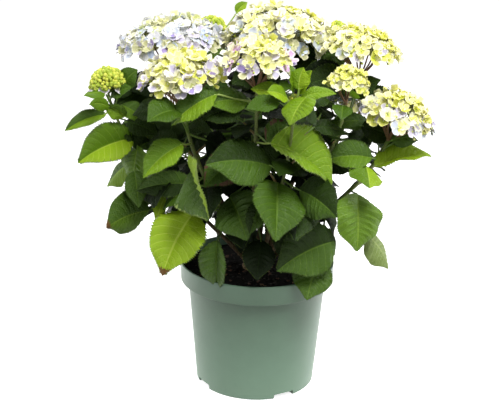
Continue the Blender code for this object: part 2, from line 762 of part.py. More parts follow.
def build_pot(parts, cutters, material):
    """A thin tapering pot with a collar, and notches cut in its foot."""
    shoulder = POT_HEIGHT - POT_COLLAR_DROP
    lip = POT_HEIGHT
    edge = POT_EDGE
    inside = POT_RIM_RADIUS - POT_WALL
    profile = [(0.0, POT_FLOOR), (inner_radius(POT_FLOOR), POT_FLOOR)]
    profile += [(inner_radius(shoulder), shoulder + COLLAR_STEP / 4)]
    profile += [(inside - COLLAR_TAPER, shoulder + COLLAR_STEP), (inside, lip - edge)]
    profile += [(inside + edge, lip), (POT_RIM_RADIUS - edge, lip)]
    profile += [(POT_RIM_RADIUS, lip - edge), (POT_RIM_RADIUS - COLLAR_TAPER, shoulder)]
    profile += [(POT_SHOULDER_RADIUS, shoulder), (POT_FOOT_RADIUS, POT_FLOOR)]
    profile += [(POT_FOOT_RADIUS - edge, edge), (POT_FOOT_RADIUS - POT_FLOOR, 0.0), (0.0, 0.0)]
    pot = turned("pot", profile, POT_SEGMENTS, parts, material)
    apply_modifiers(pot)
    for k in range(NOTCH_COUNT):
        heading = NOTCH_FIRST + 360 * k / NOTCH_COUNT
        bm = bmesh.new()
        bmesh.ops.create_cube(bm, size=1.0)
        size = Vector((2 * NOTCH_DEPTH, NOTCH_WIDTH, 2 * NOTCH_HEIGHT))
        bmesh.ops.scale(bm, vec=size, verts=bm.verts)
        cutter = mesh_object(f"notch_{k + 1}", bm, cutters, material)
        cutter.location = direction(heading, 0) * (POT_FOOT_RADIUS + 0.004)
        cutter.rotation_euler.z = math.radians(heading)
        cutter.hide_render = True
        cutter.display_type = "WIRE"
        cut = pot.modifiers.new(cutter.name, "BOOLEAN")
        cut.operation = "DIFFERENCE"
        cut.object = cutter
    return pot


def build_soil(parts, material):
    """Fills the pot inside its wall, with a socket for the crown."""
    foot = POT_FLOOR + GAP
    socket = CROWN_RADIUS + GAP
    shoulder = POT_HEIGHT - POT_COLLAR_DROP
    rim = POT_RIM_RADIUS - POT_WALL - SOIL_GAP - COLLAR_TAPER
    profile = [(0.0, CROWN_FOOT - GAP), (socket, CROWN_FOOT - GAP)]
    profile += [(socket, SOIL_TOP + SOIL_DOME), (SOIL_HEAP_RADIUS, SOIL_TOP + SOIL_DOME * 0.6)]
    profile += [(rim, SOIL_TOP), (rim, shoulder + COLLAR_STEP + GAP)]
    profile += [(inner_radius(shoulder) - SOIL_GAP, shoulder + COLLAR_STEP / 4)]
    profile += [(inner_radius(foot) - SOIL_GAP, foot), (0.0, foot)]
    soil = turned("soil", profile, 24, parts, material)
    apply_modifiers(soil)
    return soil


def build_crown(parts, material):
    """The woody stool: a flared stump with a stub for every shoot."""
    profile = [(0.0, CROWN_TOP + 0.002), (0.014, CROWN_TOP), (0.0235, CROWN_TOP - 0.006)]
    profile += [(0.0250, CROWN_TOP - 0.016), (CROWN_RADIUS, CROWN_FOOT), (0.0, CROWN_FOOT)]
    crown = turned("crown", profile, 12, parts, material)
    apply_modifiers(crown)
    stubs = scratch_collection("stubs")
    for shoot in SHOOTS:
        curve = shoot_curve(shoot)
        top = curve[0]
        back = curve_tangent(curve, 0.0) * 0.018
        radius = stem_radius(shoot, 0.0)
        tube("stub", [top - back, top], [radius * 1.25, radius], 6, stubs, material)
    unite(crown, stubs)
    return crown


# ---------------------------------------------------------------- materials
def finish(name, colour, roughness):
    """A Principled material from an sRGB colour."""
    made = bpy.data.materials.new(name)
    made.use_nodes = True
    shader = made.node_tree.nodes["Principled BSDF"]
    linear = [c / 12.92 if c <= 0.04045 else ((c + 0.055) / 1.055) ** 2.4 for c in colour]
    shader.inputs["Base Color"].default_value = (*linear, 1)
    shader.inputs["Roughness"].default_value = roughness
    shader.inputs["Metallic"].default_value = 0.0
    made.diffuse_color = (*linear, 1)
    return made


def build_materials():
    return {
        "pot": finish("pot_plastic", (0.47, 0.56, 0.49), 0.45),
        "soil": finish("potting_soil", (0.13, 0.10, 0.08), 0.95),
        "wood": finish("old_wood", (0.42, 0.36, 0.26), 0.85),
        "stem": finish("green_stem", (0.38, 0.44, 0.20), 0.60),
        "leaf": finish("leaf", (0.30, 0.48, 0.14), 0.40),
        "petal": finish("petal", (0.90, 0.90, 0.72), 0.60),
        "bud": finish("flower_bud", (0.78, 0.82, 0.28), 0.60),
    }


# ---------------------------------------------------------------- assembly
def main():
    for old in list(bpy.data.objects):
        bpy.data.objects.remove(old)
    parts = scratch_collection("potted_hydrangea")
    cutters = scratch_collection("cutters")
    materials = build_materials()
    room = Room()
    pot = build_pot(parts, cutters, materials["pot"])
    room.add_object("pot", pot)
    room.add_object("soil", build_soil(parts, materials["soil"]))
    room.add_object("crown", build_crown(parts, materials["wood"]))
    foliage = {}
    for shoot in SHOOTS:
        low, high = splits(shoot)
        stem = limb("stem_" + shoot.name, shoot, 0.0, low, 6, 4, True, parts, materials["stem"])
        room.add_object(stem.name, stem)
        green = limb("foliage_" + shoot.name, shoot, low, high, 6, 4, True, parts,
                     materials["leaf"])
        room.add_object(green.name, green)
        foliage[shoot.name] = green
        if shoot.bloom != "leafy":
            axis = shoot_axis(shoot)
            build_head(shoot, parts, materials)
            room.add_dome("bloom_" + shoot.name, head_centre(shoot), axis,
                          shoot.width / 2 + 0.006, shoot.dome + 0.006)
            stalk = limb("stalk", shoot, high, 1.0, 6, 3, True, parts, materials["stem"])
            room.add_object("bloom_" + shoot.name, stalk)
            bpy.data.objects.remove(stalk)
    grown = grow_foliage(room)
    for shoot in SHOOTS:
        extras = scratch_collection("leaves")
        for leaf in grown[shoot.name].leaves:
            leaf_object(leaf, extras, materials["leaf"])
        for root, end in grown[shoot.name].twigs:
            tube("twig", [root, end], TWIG_RADII, 4, extras, materials["leaf"])
        if shoot.bloom == "leafy":
            curve = shoot_curve(shoot)
            blossom_object(curve[3], shoot_axis(shoot), *LEAFY_BUD, 6, extras,
                           materials["leaf"])
        unite(foliage[shoot.name], extras)
    print("leaves", sum(len(found.leaves) for found in grown.values()),
          "twigs", sum(len(found.twigs) for found in grown.values()))
    total = 0
    for made in parts.objects:
        made.data.shade_smooth()
        made.data.set_sharp_from_angle(angle=math.radians(35))
        count = sum(len(p.vertices) - 2 for p in made.data.polygons)
        total += count
        print(made.name, count)
    print("triangles", total)


main()
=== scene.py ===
import math
import random
from collections import namedtuple

import bmesh
import bpy
import numpy as np
from mathutils import Matrix, Vector, noise
from mathutils.bvhtree import BVHTree


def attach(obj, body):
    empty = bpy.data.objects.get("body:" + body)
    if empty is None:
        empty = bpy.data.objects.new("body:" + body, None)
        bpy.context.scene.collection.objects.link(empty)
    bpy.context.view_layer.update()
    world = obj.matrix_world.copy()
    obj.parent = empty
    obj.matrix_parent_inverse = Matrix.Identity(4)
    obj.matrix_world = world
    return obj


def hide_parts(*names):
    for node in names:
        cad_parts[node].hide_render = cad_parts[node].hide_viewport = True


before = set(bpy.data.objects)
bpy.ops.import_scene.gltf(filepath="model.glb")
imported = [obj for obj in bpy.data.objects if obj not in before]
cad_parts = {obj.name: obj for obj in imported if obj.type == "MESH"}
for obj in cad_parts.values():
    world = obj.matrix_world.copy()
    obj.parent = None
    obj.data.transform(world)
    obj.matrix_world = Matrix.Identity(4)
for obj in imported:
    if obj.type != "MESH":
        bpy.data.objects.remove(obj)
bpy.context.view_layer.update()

mm = 0.001
up = Vector((0, 0, 1))
seed = 27
print("frame loaded")

stemForm = {
    "innerRing": (0.0108, -14), "outerRing": (0.0215, 30), "footRadius": 0.0042,
    "tipRadius": 0.0022, "forkDrop": (0.008, 0.16), "ringSpacing": 0.0045, "sides": 12,
    "nodeSwell": 0.0009, "swellReach": 0.0035, "barkRelief": 0.00032,
    "bow": (0.38, 0.34, 0.36),      # how far the curve leans out and rises, below and above
    "pairEnds": (0.010, 0.008),     # from the ends of the green stem to its leaf pairs
    # the flare at the foot: how far below it, and how much wider
    "flare": ((0.020, 1.75), (0.014, 1.5), (0.008, 1.3), (0.003, 1.12), (-0.002, 1.0)),
    "bareStalk": {"mophead": 0.020, "bud": 0.009},
}

Shoot = namedtuple("Shoot", "name ring heading reach height lean split bloom width dome")
shoots = (
    Shoot("right_back", "inner", 0, 0.144, 0.497, 8, 0.300, "mophead", 0.116, 0.044),
    Shoot("far", "inner", 49, 0.172, 0.512, 4, 0.310, "bud", 0.026, 0.014),
    Shoot("centre_back", "inner", 74, 0.088, 0.503, 4, 0.300, "mophead", 0.162, 0.057),
    Shoot("back", "inner", 116, 0.178, 0.500, 6, 0.300, "bud", 0.048, 0.020),
    Shoot("left_back", "inner", 153, 0.158, 0.494, 8, 0.300, "mophead", 0.156, 0.047),
    Shoot("front", "inner", 267, 0.110, 0.498, 5, 0.245, "mophead", 0.100, 0.043),
    Shoot("right_inner", "inner", 326, 0.143, 0.469, 8, 0.245, "mophead", 0.060, 0.031),
    Shoot("rear_right", "outer", 48, 0.200, 0.385, 18, 0.240, "mophead", 0.096, 0.042),
    Shoot("rear", "outer", 90, 0.200, 0.435, 12, 0.240, "mophead", 0.116, 0.048),
    Shoot("rear_left", "outer", 134, 0.200, 0.405, 16, 0.240, "mophead", 0.100, 0.043),
    Shoot("left", "outer", 182, 0.221, 0.456, 10, 0.265, "bud", 0.055, 0.026),
    Shoot("left_front", "outer", 216, 0.136, 0.468, 8, 0.245, "mophead", 0.118, 0.051),
    Shoot("young", "outer", 288, 0.146, 0.470, 6, 0.265, "leafy", 0.0, 0.0),
    Shoot("right_front", "outer", 345, 0.195, 0.418, 18, 0.265, "mophead", 0.106, 0.047),
)

leafForm = {
    "thickness": 0.0019, "fold": 16, "ratio": 0.66, "arch": 34, "stalkRadius": 0.0014,
    "rootOffset": 0.0008, "rootClear": 0.0065, "pairSpacing": 0.054, "clearance": 0.0007,
    "stations": {"placed": (0.13, 0.38, 0.70), "grown": (0.20, 0.60), "inner": (0.20, 0.60),
                 "filler": (0.20, 0.60)},
    "keel": 0.0011, "droop": 0.26, "wave": 0.085, "quilt": 0.052, "veinSkew": 0.75,
    "tooth": 0.0024, "frontDepth": 0.04, "finest": 0.045,
}
twigForm = {
    "share": 0.25, "length": (0.030, 0.055), "radii": (0.0019, 0.0013), "size": 0.72,
    "innerSteps": 0.012, "innerLength": (0.018, 0.050), "innerSize": (0.42, 0.70),
    "innerReach": 0.84, "innerTop": 0.470,
}
crownLimit = ((0.0, 0.0, 0.345), (0.262, 0.262, 0.235))      # ellipsoid centre, half sizes
# a rule-grown leaf high on the shoot, and what a place low on it adds
ruleForm = {
    "highFrom": 0.44, "span": 0.18, "length": (0.068, 0.026), "stalk": (0.018, 0.018),
    "rise": (-6, -26), "stalkRise": (34, -22),
    "apart": 0.018, "sameSide": 0.3,        # from a placed leaf: up the stem, and round it
}

# leaves with a place of their own: height on the stem, stalk heading, rise and length,
# then blade heading, rise, length, width and roll, in millimetres and degrees, and tint
placed = {
    "left": (
        (424, -115, -15, 20, -160, -25, 62, 44, -45, "mid/bright"),
        (420, -100, 35, 34, -160, 10, 33, 20, -25, "fresh"),
        (415, 85, 20, 34, 35, 40, 44, 26, 60, "deep"),
        (365, -90, 5, 29, -150, -10, 82, 72, -70, "fresh/lime"),
        (410, -60, 20, 40, -135, 15, 37, 34, -70, "fresh/bright"),
        (297, -125, -5, 38, -150, -25, 86, 66, -65, "mid/fresh/tip"),
        (355, -90, -15, 55, -75, -50, 57, 34, 15, "mid"),
        (340, 140, -15, 18, 175, -40, 64, 38, -60, "mid/bright"),
        (300, -95, 5, 60, -110, -45, 43, 22, -60, "lime"),
    ),
    "left_front": (
        (400, -95, 40, 49, -140, 10, 62, 48, -45, "mid"),
        (385, -105, 10, 52, -145, -30, 68, 50, -45, "fresh/bright"),
        (335, -120, 15, 31, -155, -10, 74, 48, -60, "mid/deep"),
        (362, -90, 15, 36, -75, -50, 77, 52, 28, "lime/mid"),
        (285, -125, 0, 62, -120, -35, 100, 78, -22, "lime/tip"),
        (265, -105, -10, 68, -85, -50, 66, 44, 0, "mid"),
        (402, -90, 50, 47, 0, 15, 44, 34, 40, "deep/fresh"),
    ),
    "front": (
        (395, -65, 5, 42, -15, -25, 97, 68, 60, "bright"),
        (375, -130, 5, 26, -160, -35, 68, 50, -55, "mid/rim"),
        (410, -55, -20, 29, 0, 55, 59, 42, 60, "mid/rim"),
        (285, -80, -25, 58, -100, -50, 61, 52, 0, "shade"),
        (340, -145, -20, 34, -65, -60, 73, 60, 10, "mid"),
    ),
    "young": (
        (356, -120, 25, 36, -160, 10, 93, 68, -68, "deep/mid"),
        (335, -105, 5, 29, -85, -40, 86, 76, 0, "mid"),
        (345, -25, 0, 25, -20, -35, 67, 46, 50, "deep/mid"),
        (440, -95, 62, 30, -140, 25, 42, 32, -45, "bright/lime"),
        (452, -75, 60, 36, 0, 80, 30, 28, 70, "bright/lime"),
        (440, -40, 58, 33, -20, 15, 50, 32, 45, "bright"),
        (430, -75, 55, 40, -85, -35, 38, 30, 10, "bright"),
    ),
    "right_inner": (
        (290, -50, -20, 63, -130, -20, 108, 74, -58, "deep/mid"),
        (412, -85, 60, 44, -95, -20, 35, 28, -10, "mid"),
    ),
    "right_front": (
        (312, -70, -5, 26, -90, -45, 88, 74, 0, "fresh"),
        (290, 15, -20, 51, -25, -65, 89, 44, 10, "sheen"),
        (362, -110, 20, 34, -145, -10, 64, 48, -60, "mid/fresh"),
        (325, -80, 45, 50, -70, -25, 48, 42, 20, "fresh/lime"),
        (358, -70, -5, 17, 0, 10, 73, 48, 55, "lime"),
        (275, -105, -20, 63, -100, -45, 92, 60, -10, "mid"),
    ),
    "right_back": (
        (405, 0, -5, 35, -160, 10, 62, 40, -40, "mid"),
        (385, 0, 10, 47, -140, -15, 64, 40, -70, "deep"),
        (372, -85, 0, 37, -55, -55, 53, 46, 30, "deep"),
    ),
    "back": (
        (400, -70, 5, 37, -40, -15, 65, 42, 50, "mid"),
    ),
    "left_back": (
        (400, -40, 0, 49, -110, -55, 66, 50, 10, "deep"),
        (365, -145, 15, 33, -160, -25, 55, 46, -60, "mid"),
    ),
    "centre_back": (
        (405, -120, 0, 38, -140, -20, 52, 46, -60, "deep"),
    ),
}
# how the shown leaves lie once their margins droop: stalk heading, rise and length, then
# blade heading, rise, length, width, roll and added fold, by the leaf's number in its shoot
posed = {
    "right_back": {
        0: (-3, 0, 33, -155, -2, 67, 35, -34, -3), 2: (-85, 0, 37, -55, -30, 36, 34, 30, 0),
    },
    "left": {
        0: (-114, -38, 19, -170, -22, 64, 28, -56, 22),
        1: (-102, 44, 36, -155, -1, 33, 22, -17, -13),
        3: (-84, 34, 26, -151, -18, 88, 74, -60, 24), 4: (-61, 8, 42, -164, 27, 36, 32, -110, 22),
        5: (-131, -23, 54, -132, -5, 81, 64, -91, -15),
        7: (148, -15, 30, 151, -45, 63, 46, -50, -19),
    },
    "left_front": {
        0: (-103, 43, 64, -132, -7, 56, 49, -30, 12),
        1: (-107, 13, 35, -145, -32, 73, 49, -36, 18), 2: (-113, -8, 33, -175, -6, 81, 38, -76, 8),
        3: (-94, -3, 47, -73, -24, 103, 93, 77, 23), 4: (-131, 3, 55, -121, -43, 102, 86, -19, 17),
        5: (-100, -10, 64, -103, -95, 77, 58, 18, 24),
    },
    "front": {
        0: (-62, 12, 43, 5, -35, 103, 102, 32, 24), 2: (-52, -19, 28, 27, 25, 47, 43, 51, 7),
        3: (-79, -29, 60, -98, -57, 58, 47, -13, 6), 4: (-158, -34, 46, -63, -40, 73, 76, 49, 8),
    },
    "young": {
        0: (-133, 30, 30, -160, 6, 94, 71, -45, 0), 1: (-106, 25, 25, -91, -44, 89, 84, -27, 14),
        2: (-40, -16, 30, -43, -19, 71, 58, 76, -8), 3: (-118, 58, 36, -140, 21, 38, 27, -47, 7),
        5: (-46, 69, 32, -11, 10, 48, 22, 40, 7), 6: (-63, 53, 58, -125, -39, 49, 52, 11, -5),
    },
    "right_inner": {
        0: (-43, -26, 82, -155, -20, 97, 79, -68, 10),
    },
    "right_front": {
        0: (-75, 7, 31, -88, -67, 82, 86, -31, 7), 1: (-19, -41, 63, 10, -56, 67, 53, 39, -24),
        2: (-111, 17, 31, -174, -3, 65, 48, -51, 11), 3: (-81, 43, 53, -86, -23, 49, 48, -18, -17),
        4: (-96, -10, 18, 12, 8, 84, 62, 16, 19), 5: (-101, -45, 74, -110, -42, 68, 56, -17, -17),
    },
}
# leaves that close the crown, most of them behind the shown ones, in rows as of placed
fillers = {
    "left_back": (
        (425, 190, 10, 30, 215, -15, 72, 50, -55, "deep"),
        (400, 200, 0, 34, 240, -35, 70, 52, -40, "deep"),
        (438, 215, 15, 26, 235, -5, 56, 40, -60, "shade"),
        (408, -114, 14, 15, -90, -50, 62, 50, 0, "deep"),
        (375, -170, 15, 18, -100, -55, 56, 46, 0, "deep"),
        (438, -23, 19, 65, -75, -35, 60, 48, 0, "deep"),
    ),
    "centre_back": (
        (455, -40, 30, 22, -20, -5, 60, 44, 55, "deep"),
        (448, 200, 20, 24, 215, -10, 56, 40, -50, "deep"),
        (458, 245, 15, 22, 250, -35, 52, 42, -5, "shade"),
        (440, 10, 20, 24, 20, -20, 60, 46, 50, "deep"),
        (455, 40, 45, 34, 10, 8, 49, 41, 51, "deep"),
    ),
    "far": (
        (486, -112, 16, 53, -60, -30, 56, 42, 20, "mid"),
    ),
    "right_back": (
        (455, 180, 40, 20, 190, -10, 62, 44, -60, "deep"),
        (450, -10, 10, 20, -15, -40, 50, 30, 60, "deep"),
        (395, -40, 15, 34, -20, -20, 60, 44, 45, "deep"),
        (448, 160, 35, 24, 170, 5, 64, 48, -65, "shade"),
        (405, -64, 65, 44, -22, 36, 48, 35, 49, "deep"),
    ),
    "right_inner": (
        (290, 65, 65, 11, 32, 40, 44, 40, 82, "shade"),
    ),
    "right_front": (
        (386, -60, 30, 14, 5, 5, 34, 26, 50, "mid"),
        (378, -25, 35, 16, 0, 8, 36, 20, 60, "mid"),
    ),
    "left": (
        (392, -60, 30, 20, -10, -20, 50, 36, 35, "deep"),
        (432, -70, 30, 12, -20, 25, 36, 24, 50, "mid"),
        (432, 0, 43, 27, -14, 49, 34, 31, 74, "mid"),
        (405, -20, -10, 16, -50, -55, 48, 34, 0, "deep"),
        (418, 10, 20, 14, -10, -35, 46, 34, 30, "mid/fresh"),
        (410, -92, 24, 52, -132, 14, 37, 19, -79, "fresh"),
        (365, -69, 10, 28, -117, -82, 60, 52, 12, "fresh"),
    ),
    "back": (
        (484, 12, 52, 61, 5, 45, 24, 18, 60, "bright/lime"),
        (470, 0, 20, 22, 10, -10, 62, 46, 60, "deep"),
        (460, 190, 20, 22, 200, -10, 60, 44, -60, "deep"),
    ),
    "front": (
        (440, 200, 20, 20, 190, -15, 58, 42, -50, "deep"),
        (442, 20, 20, 20, 10, -15, 56, 42, 50, "deep"),
        (446, 120, 20, 24, 130, -10, 56, 44, 0, "shade"),
        (454, -163, 14, 57, -174, -36, 74, 42, -46, "mid/bright"),
    ),
    "left_front": (
        (425, 150, 20, 26, 165, -15, 58, 44, -40, "deep"),
        (418, 30, 20, 24, 20, -20, 58, 44, 45, "shade"),
        (400, 17, -23, 27, 23, -38, 44, 40, 70, "shade"),
    ),
    "young": (
        (450, -110, 76, 26, -120, 72, 42, 28, -78, "fresh/bright"),
        (450, -60, 70, 26, -35, 60, 40, 24, 62, "bright/lime"),
        (446, 180, 60, 26, 178, 12, 46, 28, -50, "bright/lime"),
    ),
}
# gaps in the crown that stay open from the front: x, z and radius at gapPlane
lightGaps = (
    (-0.170, 0.444, 0.007), (-0.174, 0.415, 0.007), (-0.077, 0.392, 0.006),
    (-0.052, 0.313, 0.006), (-0.044, 0.313, 0.006), (0.040, 0.350, 0.003),
    (-0.070, 0.261, 0.007),
    (0.127, 0.444, 0.008), (0.146, 0.432, 0.008), (0.112, 0.402, 0.006),
    (0.111, 0.349, 0.009), (0.116, 0.336, 0.007),
    (0.180, 0.307, 0.011), (-0.151, 0.252, 0.009), (0.113, 0.236, 0.008),
    (0.184, 0.356, 0.012), (0.174, 0.362, 0.008), (0.196, 0.351, 0.007), (0.170, 0.323, 0.007),
    (-0.241, 0.407, 0.006), (-0.249, 0.411, 0.005), (0.104, 0.353, 0.005), (0.125, 0.348, 0.004),
    (0.175, 0.331, 0.006), (0.185, 0.320, 0.006), (0.196, 0.369, 0.004), (0.180, 0.339, 0.006),
)

Leaf = namedtuple("Leaf", "kind root stalkDir stalk heading rise length roll ratio tint fold",
                  defaults=(0,))
# what a leaf tries in turn until it has room: a swing, a dip and a share of its size
swings = (
    (0, 0, 1), (14, 0, 1), (-14, 0, 1), (28, -12, 0.95), (-28, -12, 0.95), (0, -25, 0.9),
    (40, -12, 0.9), (-40, 10, 0.9), (20, -30, 0.85), (-20, 18, 0.85), (0, -45, 0.8),
    (50, -20, 0.75), (-50, -20, 0.75), (0, 30, 0.7), (65, -35, 0.7), (-65, -35, 0.7),
    (30, -50, 0.62), (-30, -50, 0.62),
)


def direction(heading, rise):
    h, r = math.radians(heading), math.radians(rise)
    return Vector((math.cos(r) * math.cos(h), math.cos(r) * math.sin(h), math.sin(r)))


# each shoot is one curve from the crown to the fork under its flower head
def headCentre(shoot):
    return direction(shoot.heading, 0) * shoot.reach + up * shoot.height


def shootAxis(shoot):
    return direction(shoot.heading, 90 - shoot.lean)


def forkDrop(shoot):
    least, share = stemForm["forkDrop"]
    return least + share * shoot.width


def shootFoot(shoot):
    radius, first = stemForm[shoot.ring + "Ring"]
    ring = sorted((s.heading, s.name) for s in shoots if s.ring == shoot.ring)
    rank = ring.index((shoot.heading, shoot.name))
    return direction(first + 360 * rank / len(ring), 0) * radius + up * crownForm["stubTop"]


def shootCurve(shoot):
    foot = shootFoot(shoot)
    axis = shootAxis(shoot)
    tip = headCentre(shoot) - axis * forkDrop(shoot)
    rise = tip.z - foot.z
    out = Vector((tip.x - foot.x, tip.y - foot.y, 0))
    lean, below, above = stemForm["bow"]
    return foot, foot + out * lean + up * rise * below, tip - axis * rise * above, tip


def curvePoint(curve, t):
    a, b, c, d = curve
    u = 1 - t
    return a * u ** 3 + b * 3 * u * u * t + c * 3 * u * t * t + d * t ** 3


def curveTangent(curve, t):
    a, b, c, d = curve
    u = 1 - t
    return ((b - a) * u * u + (c - b) * 2 * u * t + (d - c) * t * t).normalized()


def heightToT(curve, height):
    low, high = 0.0, 1.0
    for _ in range(24):
        middle = (low + high) / 2
        if curvePoint(curve, middle).z < height:
            low = middle
        else:
            high = middle
    return low


def stemRadius(shoot, t):
    slim = 0.8 if shoot.bloom != "mophead" else 1.0
    return slim * (stemForm["footRadius"] + (stemForm["tipRadius"] - stemForm["footRadius"]) * t)


def splits(shoot):
    curve = shootCurve(shoot)
    upper = 1.0
    if shoot.bloom != "leafy":
        upper = heightToT(curve, curve[3].z - stemForm["bareStalk"][shoot.bloom])
    return heightToT(curve, shoot.split), upper


def pairHeights(shoot):
    curve = shootCurve(shoot)
    low, high = splits(shoot)
    start = curvePoint(curve, low).z + stemForm["pairEnds"][0]
    end = curvePoint(curve, high).z - stemForm["pairEnds"][1]
    pairs = max(2, round((end - start) / leafForm["pairSpacing"]) + 1)
    return [end - (end - start) * pair / (pairs - 1) for pair in range(pairs)]


def evenStops(start, end, count):
    return [start + (end - start) * i / count for i in range(count + 1)]


# the faces between two rings of points, and those from a ring to a tip
def bandFaces(start, sides):
    ring = [(start + j, start + (j + 1) % sides) for j in range(sides)]
    return [(a, b, b + sides, a + sides) for a, b in ring]


def fanFaces(start, sides, tip):
    return [(start + j, start + (j + 1) % sides, tip) for j in range(sides)]


# a round limb from points and radii, with its rings kept from twisting
def tubeShape(points, radii, sides, relief=None):
    verts, faces = [], []
    tangent = (points[1] - points[0]).normalized()
    across = tangent.orthogonal().normalized()
    for i, point in enumerate(points):
        ahead = points[min(i + 1, len(points) - 1)] - points[max(i - 1, 0)]
        ahead.normalize()
        across = tangent.rotation_difference(ahead) @ across
        across = (across - ahead * across.dot(ahead)).normalized()
        tangent = ahead
        over = ahead.cross(across)
        for j in range(sides):
            a = math.tau * j / sides
            out = across * math.cos(a) + over * math.sin(a)
            radius = radii[i]
            if relief:
                radius += relief(i, a)
            verts.append(point + out * radius)
    last = (len(points) - 1) * sides
    for start in range(0, last, sides):
        faces += bandFaces(start, sides)
    return verts, faces + [tuple(range(sides - 1, -1, -1)), tuple(range(last, last + sides))]


def leafBase(leaf):
    return leaf.root + leaf.stalkDir * leaf.stalk


# the leaf's blade as the solids have it, for the tests of room
def bladePoint(leaf, s):
    arch = math.radians(leafForm["arch"])
    first = math.radians(leaf.rise) + arch / 2
    pitch = first - arch * s
    size = leaf.length * (arch / 2) / math.sin(arch / 2)
    flat = size * (math.sin(first) - math.sin(pitch)) / arch
    high = size * (math.cos(pitch) - math.cos(first)) / arch
    point = leafBase(leaf) + direction(leaf.heading, 0) * flat + up * high
    forward = direction(leaf.heading, math.degrees(pitch))
    side = direction(leaf.heading + 90, 0)
    turn = Matrix.Rotation(math.radians(leaf.roll), 3, forward)
    return point, forward, turn @ side, turn @ forward.cross(side)


def bladeWidth(leaf, s):
    return leaf.length * leaf.ratio / 2 * math.sin(math.pi * s ** 0.72) ** 0.85


def leafRing(point, side, face, half, lift, thick):
    return (point + side * half + face * lift, point + face * thick / 2,
            point - side * half + face * lift, point - face * thick / 2)


def leafCage(leaf, grow=0.0, start=leafForm["rootOffset"]):
    base, forward, side, face = bladePoint(leaf, 0.0)
    stem = leafForm["stalkRadius"] + grow
    back = forward.rotation_difference(leaf.stalkDir)
    mitre = forward.rotation_difference((forward + leaf.stalkDir).normalized())
    points = list(leafRing(leaf.root + leaf.stalkDir * start, back @ side, back @ face,
                           stem, 0, stem * 2))
    points += leafRing(base, mitre @ side, mitre @ face, stem * 1.2, 0, stem * 1.8)
    fold = math.radians(leafForm["fold"])
    for s in leafForm["stations"][leaf.kind]:
        point, _, side, face = bladePoint(leaf, s)
        half = bladeWidth(leaf, s) + grow
        points += leafRing(point, side, face, half * math.cos(fold), half * math.sin(fold),
                           leafForm["thickness"] + 2 * grow)
    last = len(points) - 4
    tip, forward, _, _ = bladePoint(leaf, 1.0)
    points.append(tip + forward * grow)
    faces = [(3, 2, 1, 0)]
    for start in range(0, last, 4):
        faces += bandFaces(start, 4)
    return points, faces + fanFaces(last, 4, last + 4)


def clearStart(leaf):
    across = max(0.2, math.hypot(leaf.stalkDir.x, leaf.stalkDir.y))
    return min(leafForm["rootClear"] / across, leaf.stalk * 0.8)


def twigCage(start, end, radius):
    side = (end - start).cross(up).normalized()
    over = side.cross(end - start).normalized()
    corners = [(side * math.cos(a) + over * math.sin(a)) * radius
               for a in (0, math.tau / 3, math.tau * 2 / 3)]
    points = [start + c for c in corners] + [end + c for c in corners]
    return points, [(0, 2, 1), (3, 4, 5)] + bandFaces(0, 3)


def domeCage(centre, axis, radius, height):
    turn = trackUp(axis)
    spots = [Vector((0, 0, -0.1 * height))]
    for wide, high in ((0.80, -0.20), (1.0, 0.05), (0.86, 0.55), (0.48, 0.90)):
        for a in [math.tau * i / 12 for i in range(12)]:
            spots.append(Vector((math.cos(a) * wide * radius, math.sin(a) * wide * radius,
                                 high * height)))
    top = len(spots)
    spots.append(Vector((0, 0, height)))
    faces = [(0, 1 + (i + 1) % 12, 1 + i) for i in range(12)]
    for start in range(1, top - 12, 12):
        faces += bandFaces(start, 12)
    return [centre + turn @ spot for spot in spots], faces + fanFaces(top - 12, 12, top)


# one thing that takes up room: its search tree and the ball round it
class Taken:
    def __init__(self, points, faces):
        middle = sum(points, Vector()) / len(points)
        self.middle = middle
        self.radius = max((p - middle).length for p in points)
        self.tree = BVHTree.FromPolygons(points, faces)

    def meets(self, other):
        if (self.middle - other.middle).length > self.radius + other.radius:
            return False
        return bool(self.tree.overlap(other.tree))


class Room:
    def __init__(self):
        self.solids = []
        self.leaves = []

    def addShape(self, name, points, faces):
        self.solids.append((name, Taken(points, faces)))

    def addNode(self, name):
        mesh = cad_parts[name].data
        self.addShape(name, [v.co.copy() for v in mesh.vertices],
                      [tuple(p.vertices) for p in mesh.polygons])

    # the whole leaf, and the arm of it that stands clear of its own stem
    def cages(self, leaf, grow=0.0):
        return Taken(*leafCage(leaf, grow)), Taken(*leafCage(leaf, grow, clearStart(leaf)))

    def twig(self, start, end, grow=0.0):
        return Taken(*twigCage(start, end, 2 * twigForm["radii"][0] + grow))

    def addLeaf(self, name, leaf):
        self.leaves.append((name, *self.cages(leaf)))

    def addTwig(self, name, start, end):
        self.solids.append((name, self.twig(start, end)))

    def fitsTwig(self, name, start, end):
        cage = self.twig(start, end, leafForm["clearance"])
        if any(cage.meets(solid) for other, solid in self.solids if other != name):
            return False
        return not any(cage.meets(arm if other == name else whole)
                       for other, whole, arm in self.leaves)

    def fits(self, name, leaf):
        whole, arm = self.cages(leaf, leafForm["clearance"])
        if any((arm if other == name else whole).meets(solid) for other, solid in self.solids):
            return False
        return not any(arm.meets(otherArm) if other == name else whole.meets(otherWhole)
                       for other, otherWhole, otherArm in self.leaves)


def insideCrown(leaf, share=1.0):
    tip = bladePoint(leaf, 1.0)[0]
    centre, half = crownLimit
    reach = sum(((tip[i] - centre[i]) / half[i]) ** 2 for i in range(3))
    return reach < share * share and tip.z > potForm["height"] - 0.015


# the rule that the leaves grow by
def placedLeaf(shoot, row):
    height, heading, rise, stalk, bladeHeading, bladeRise, length, width, roll, tint = row
    curve = shootCurve(shoot)
    root = curvePoint(curve, heightToT(curve, height * mm))
    return Leaf("placed", root, direction(heading, rise), stalk * mm, bladeHeading, bladeRise,
                length * mm, roll, width / length, tint)


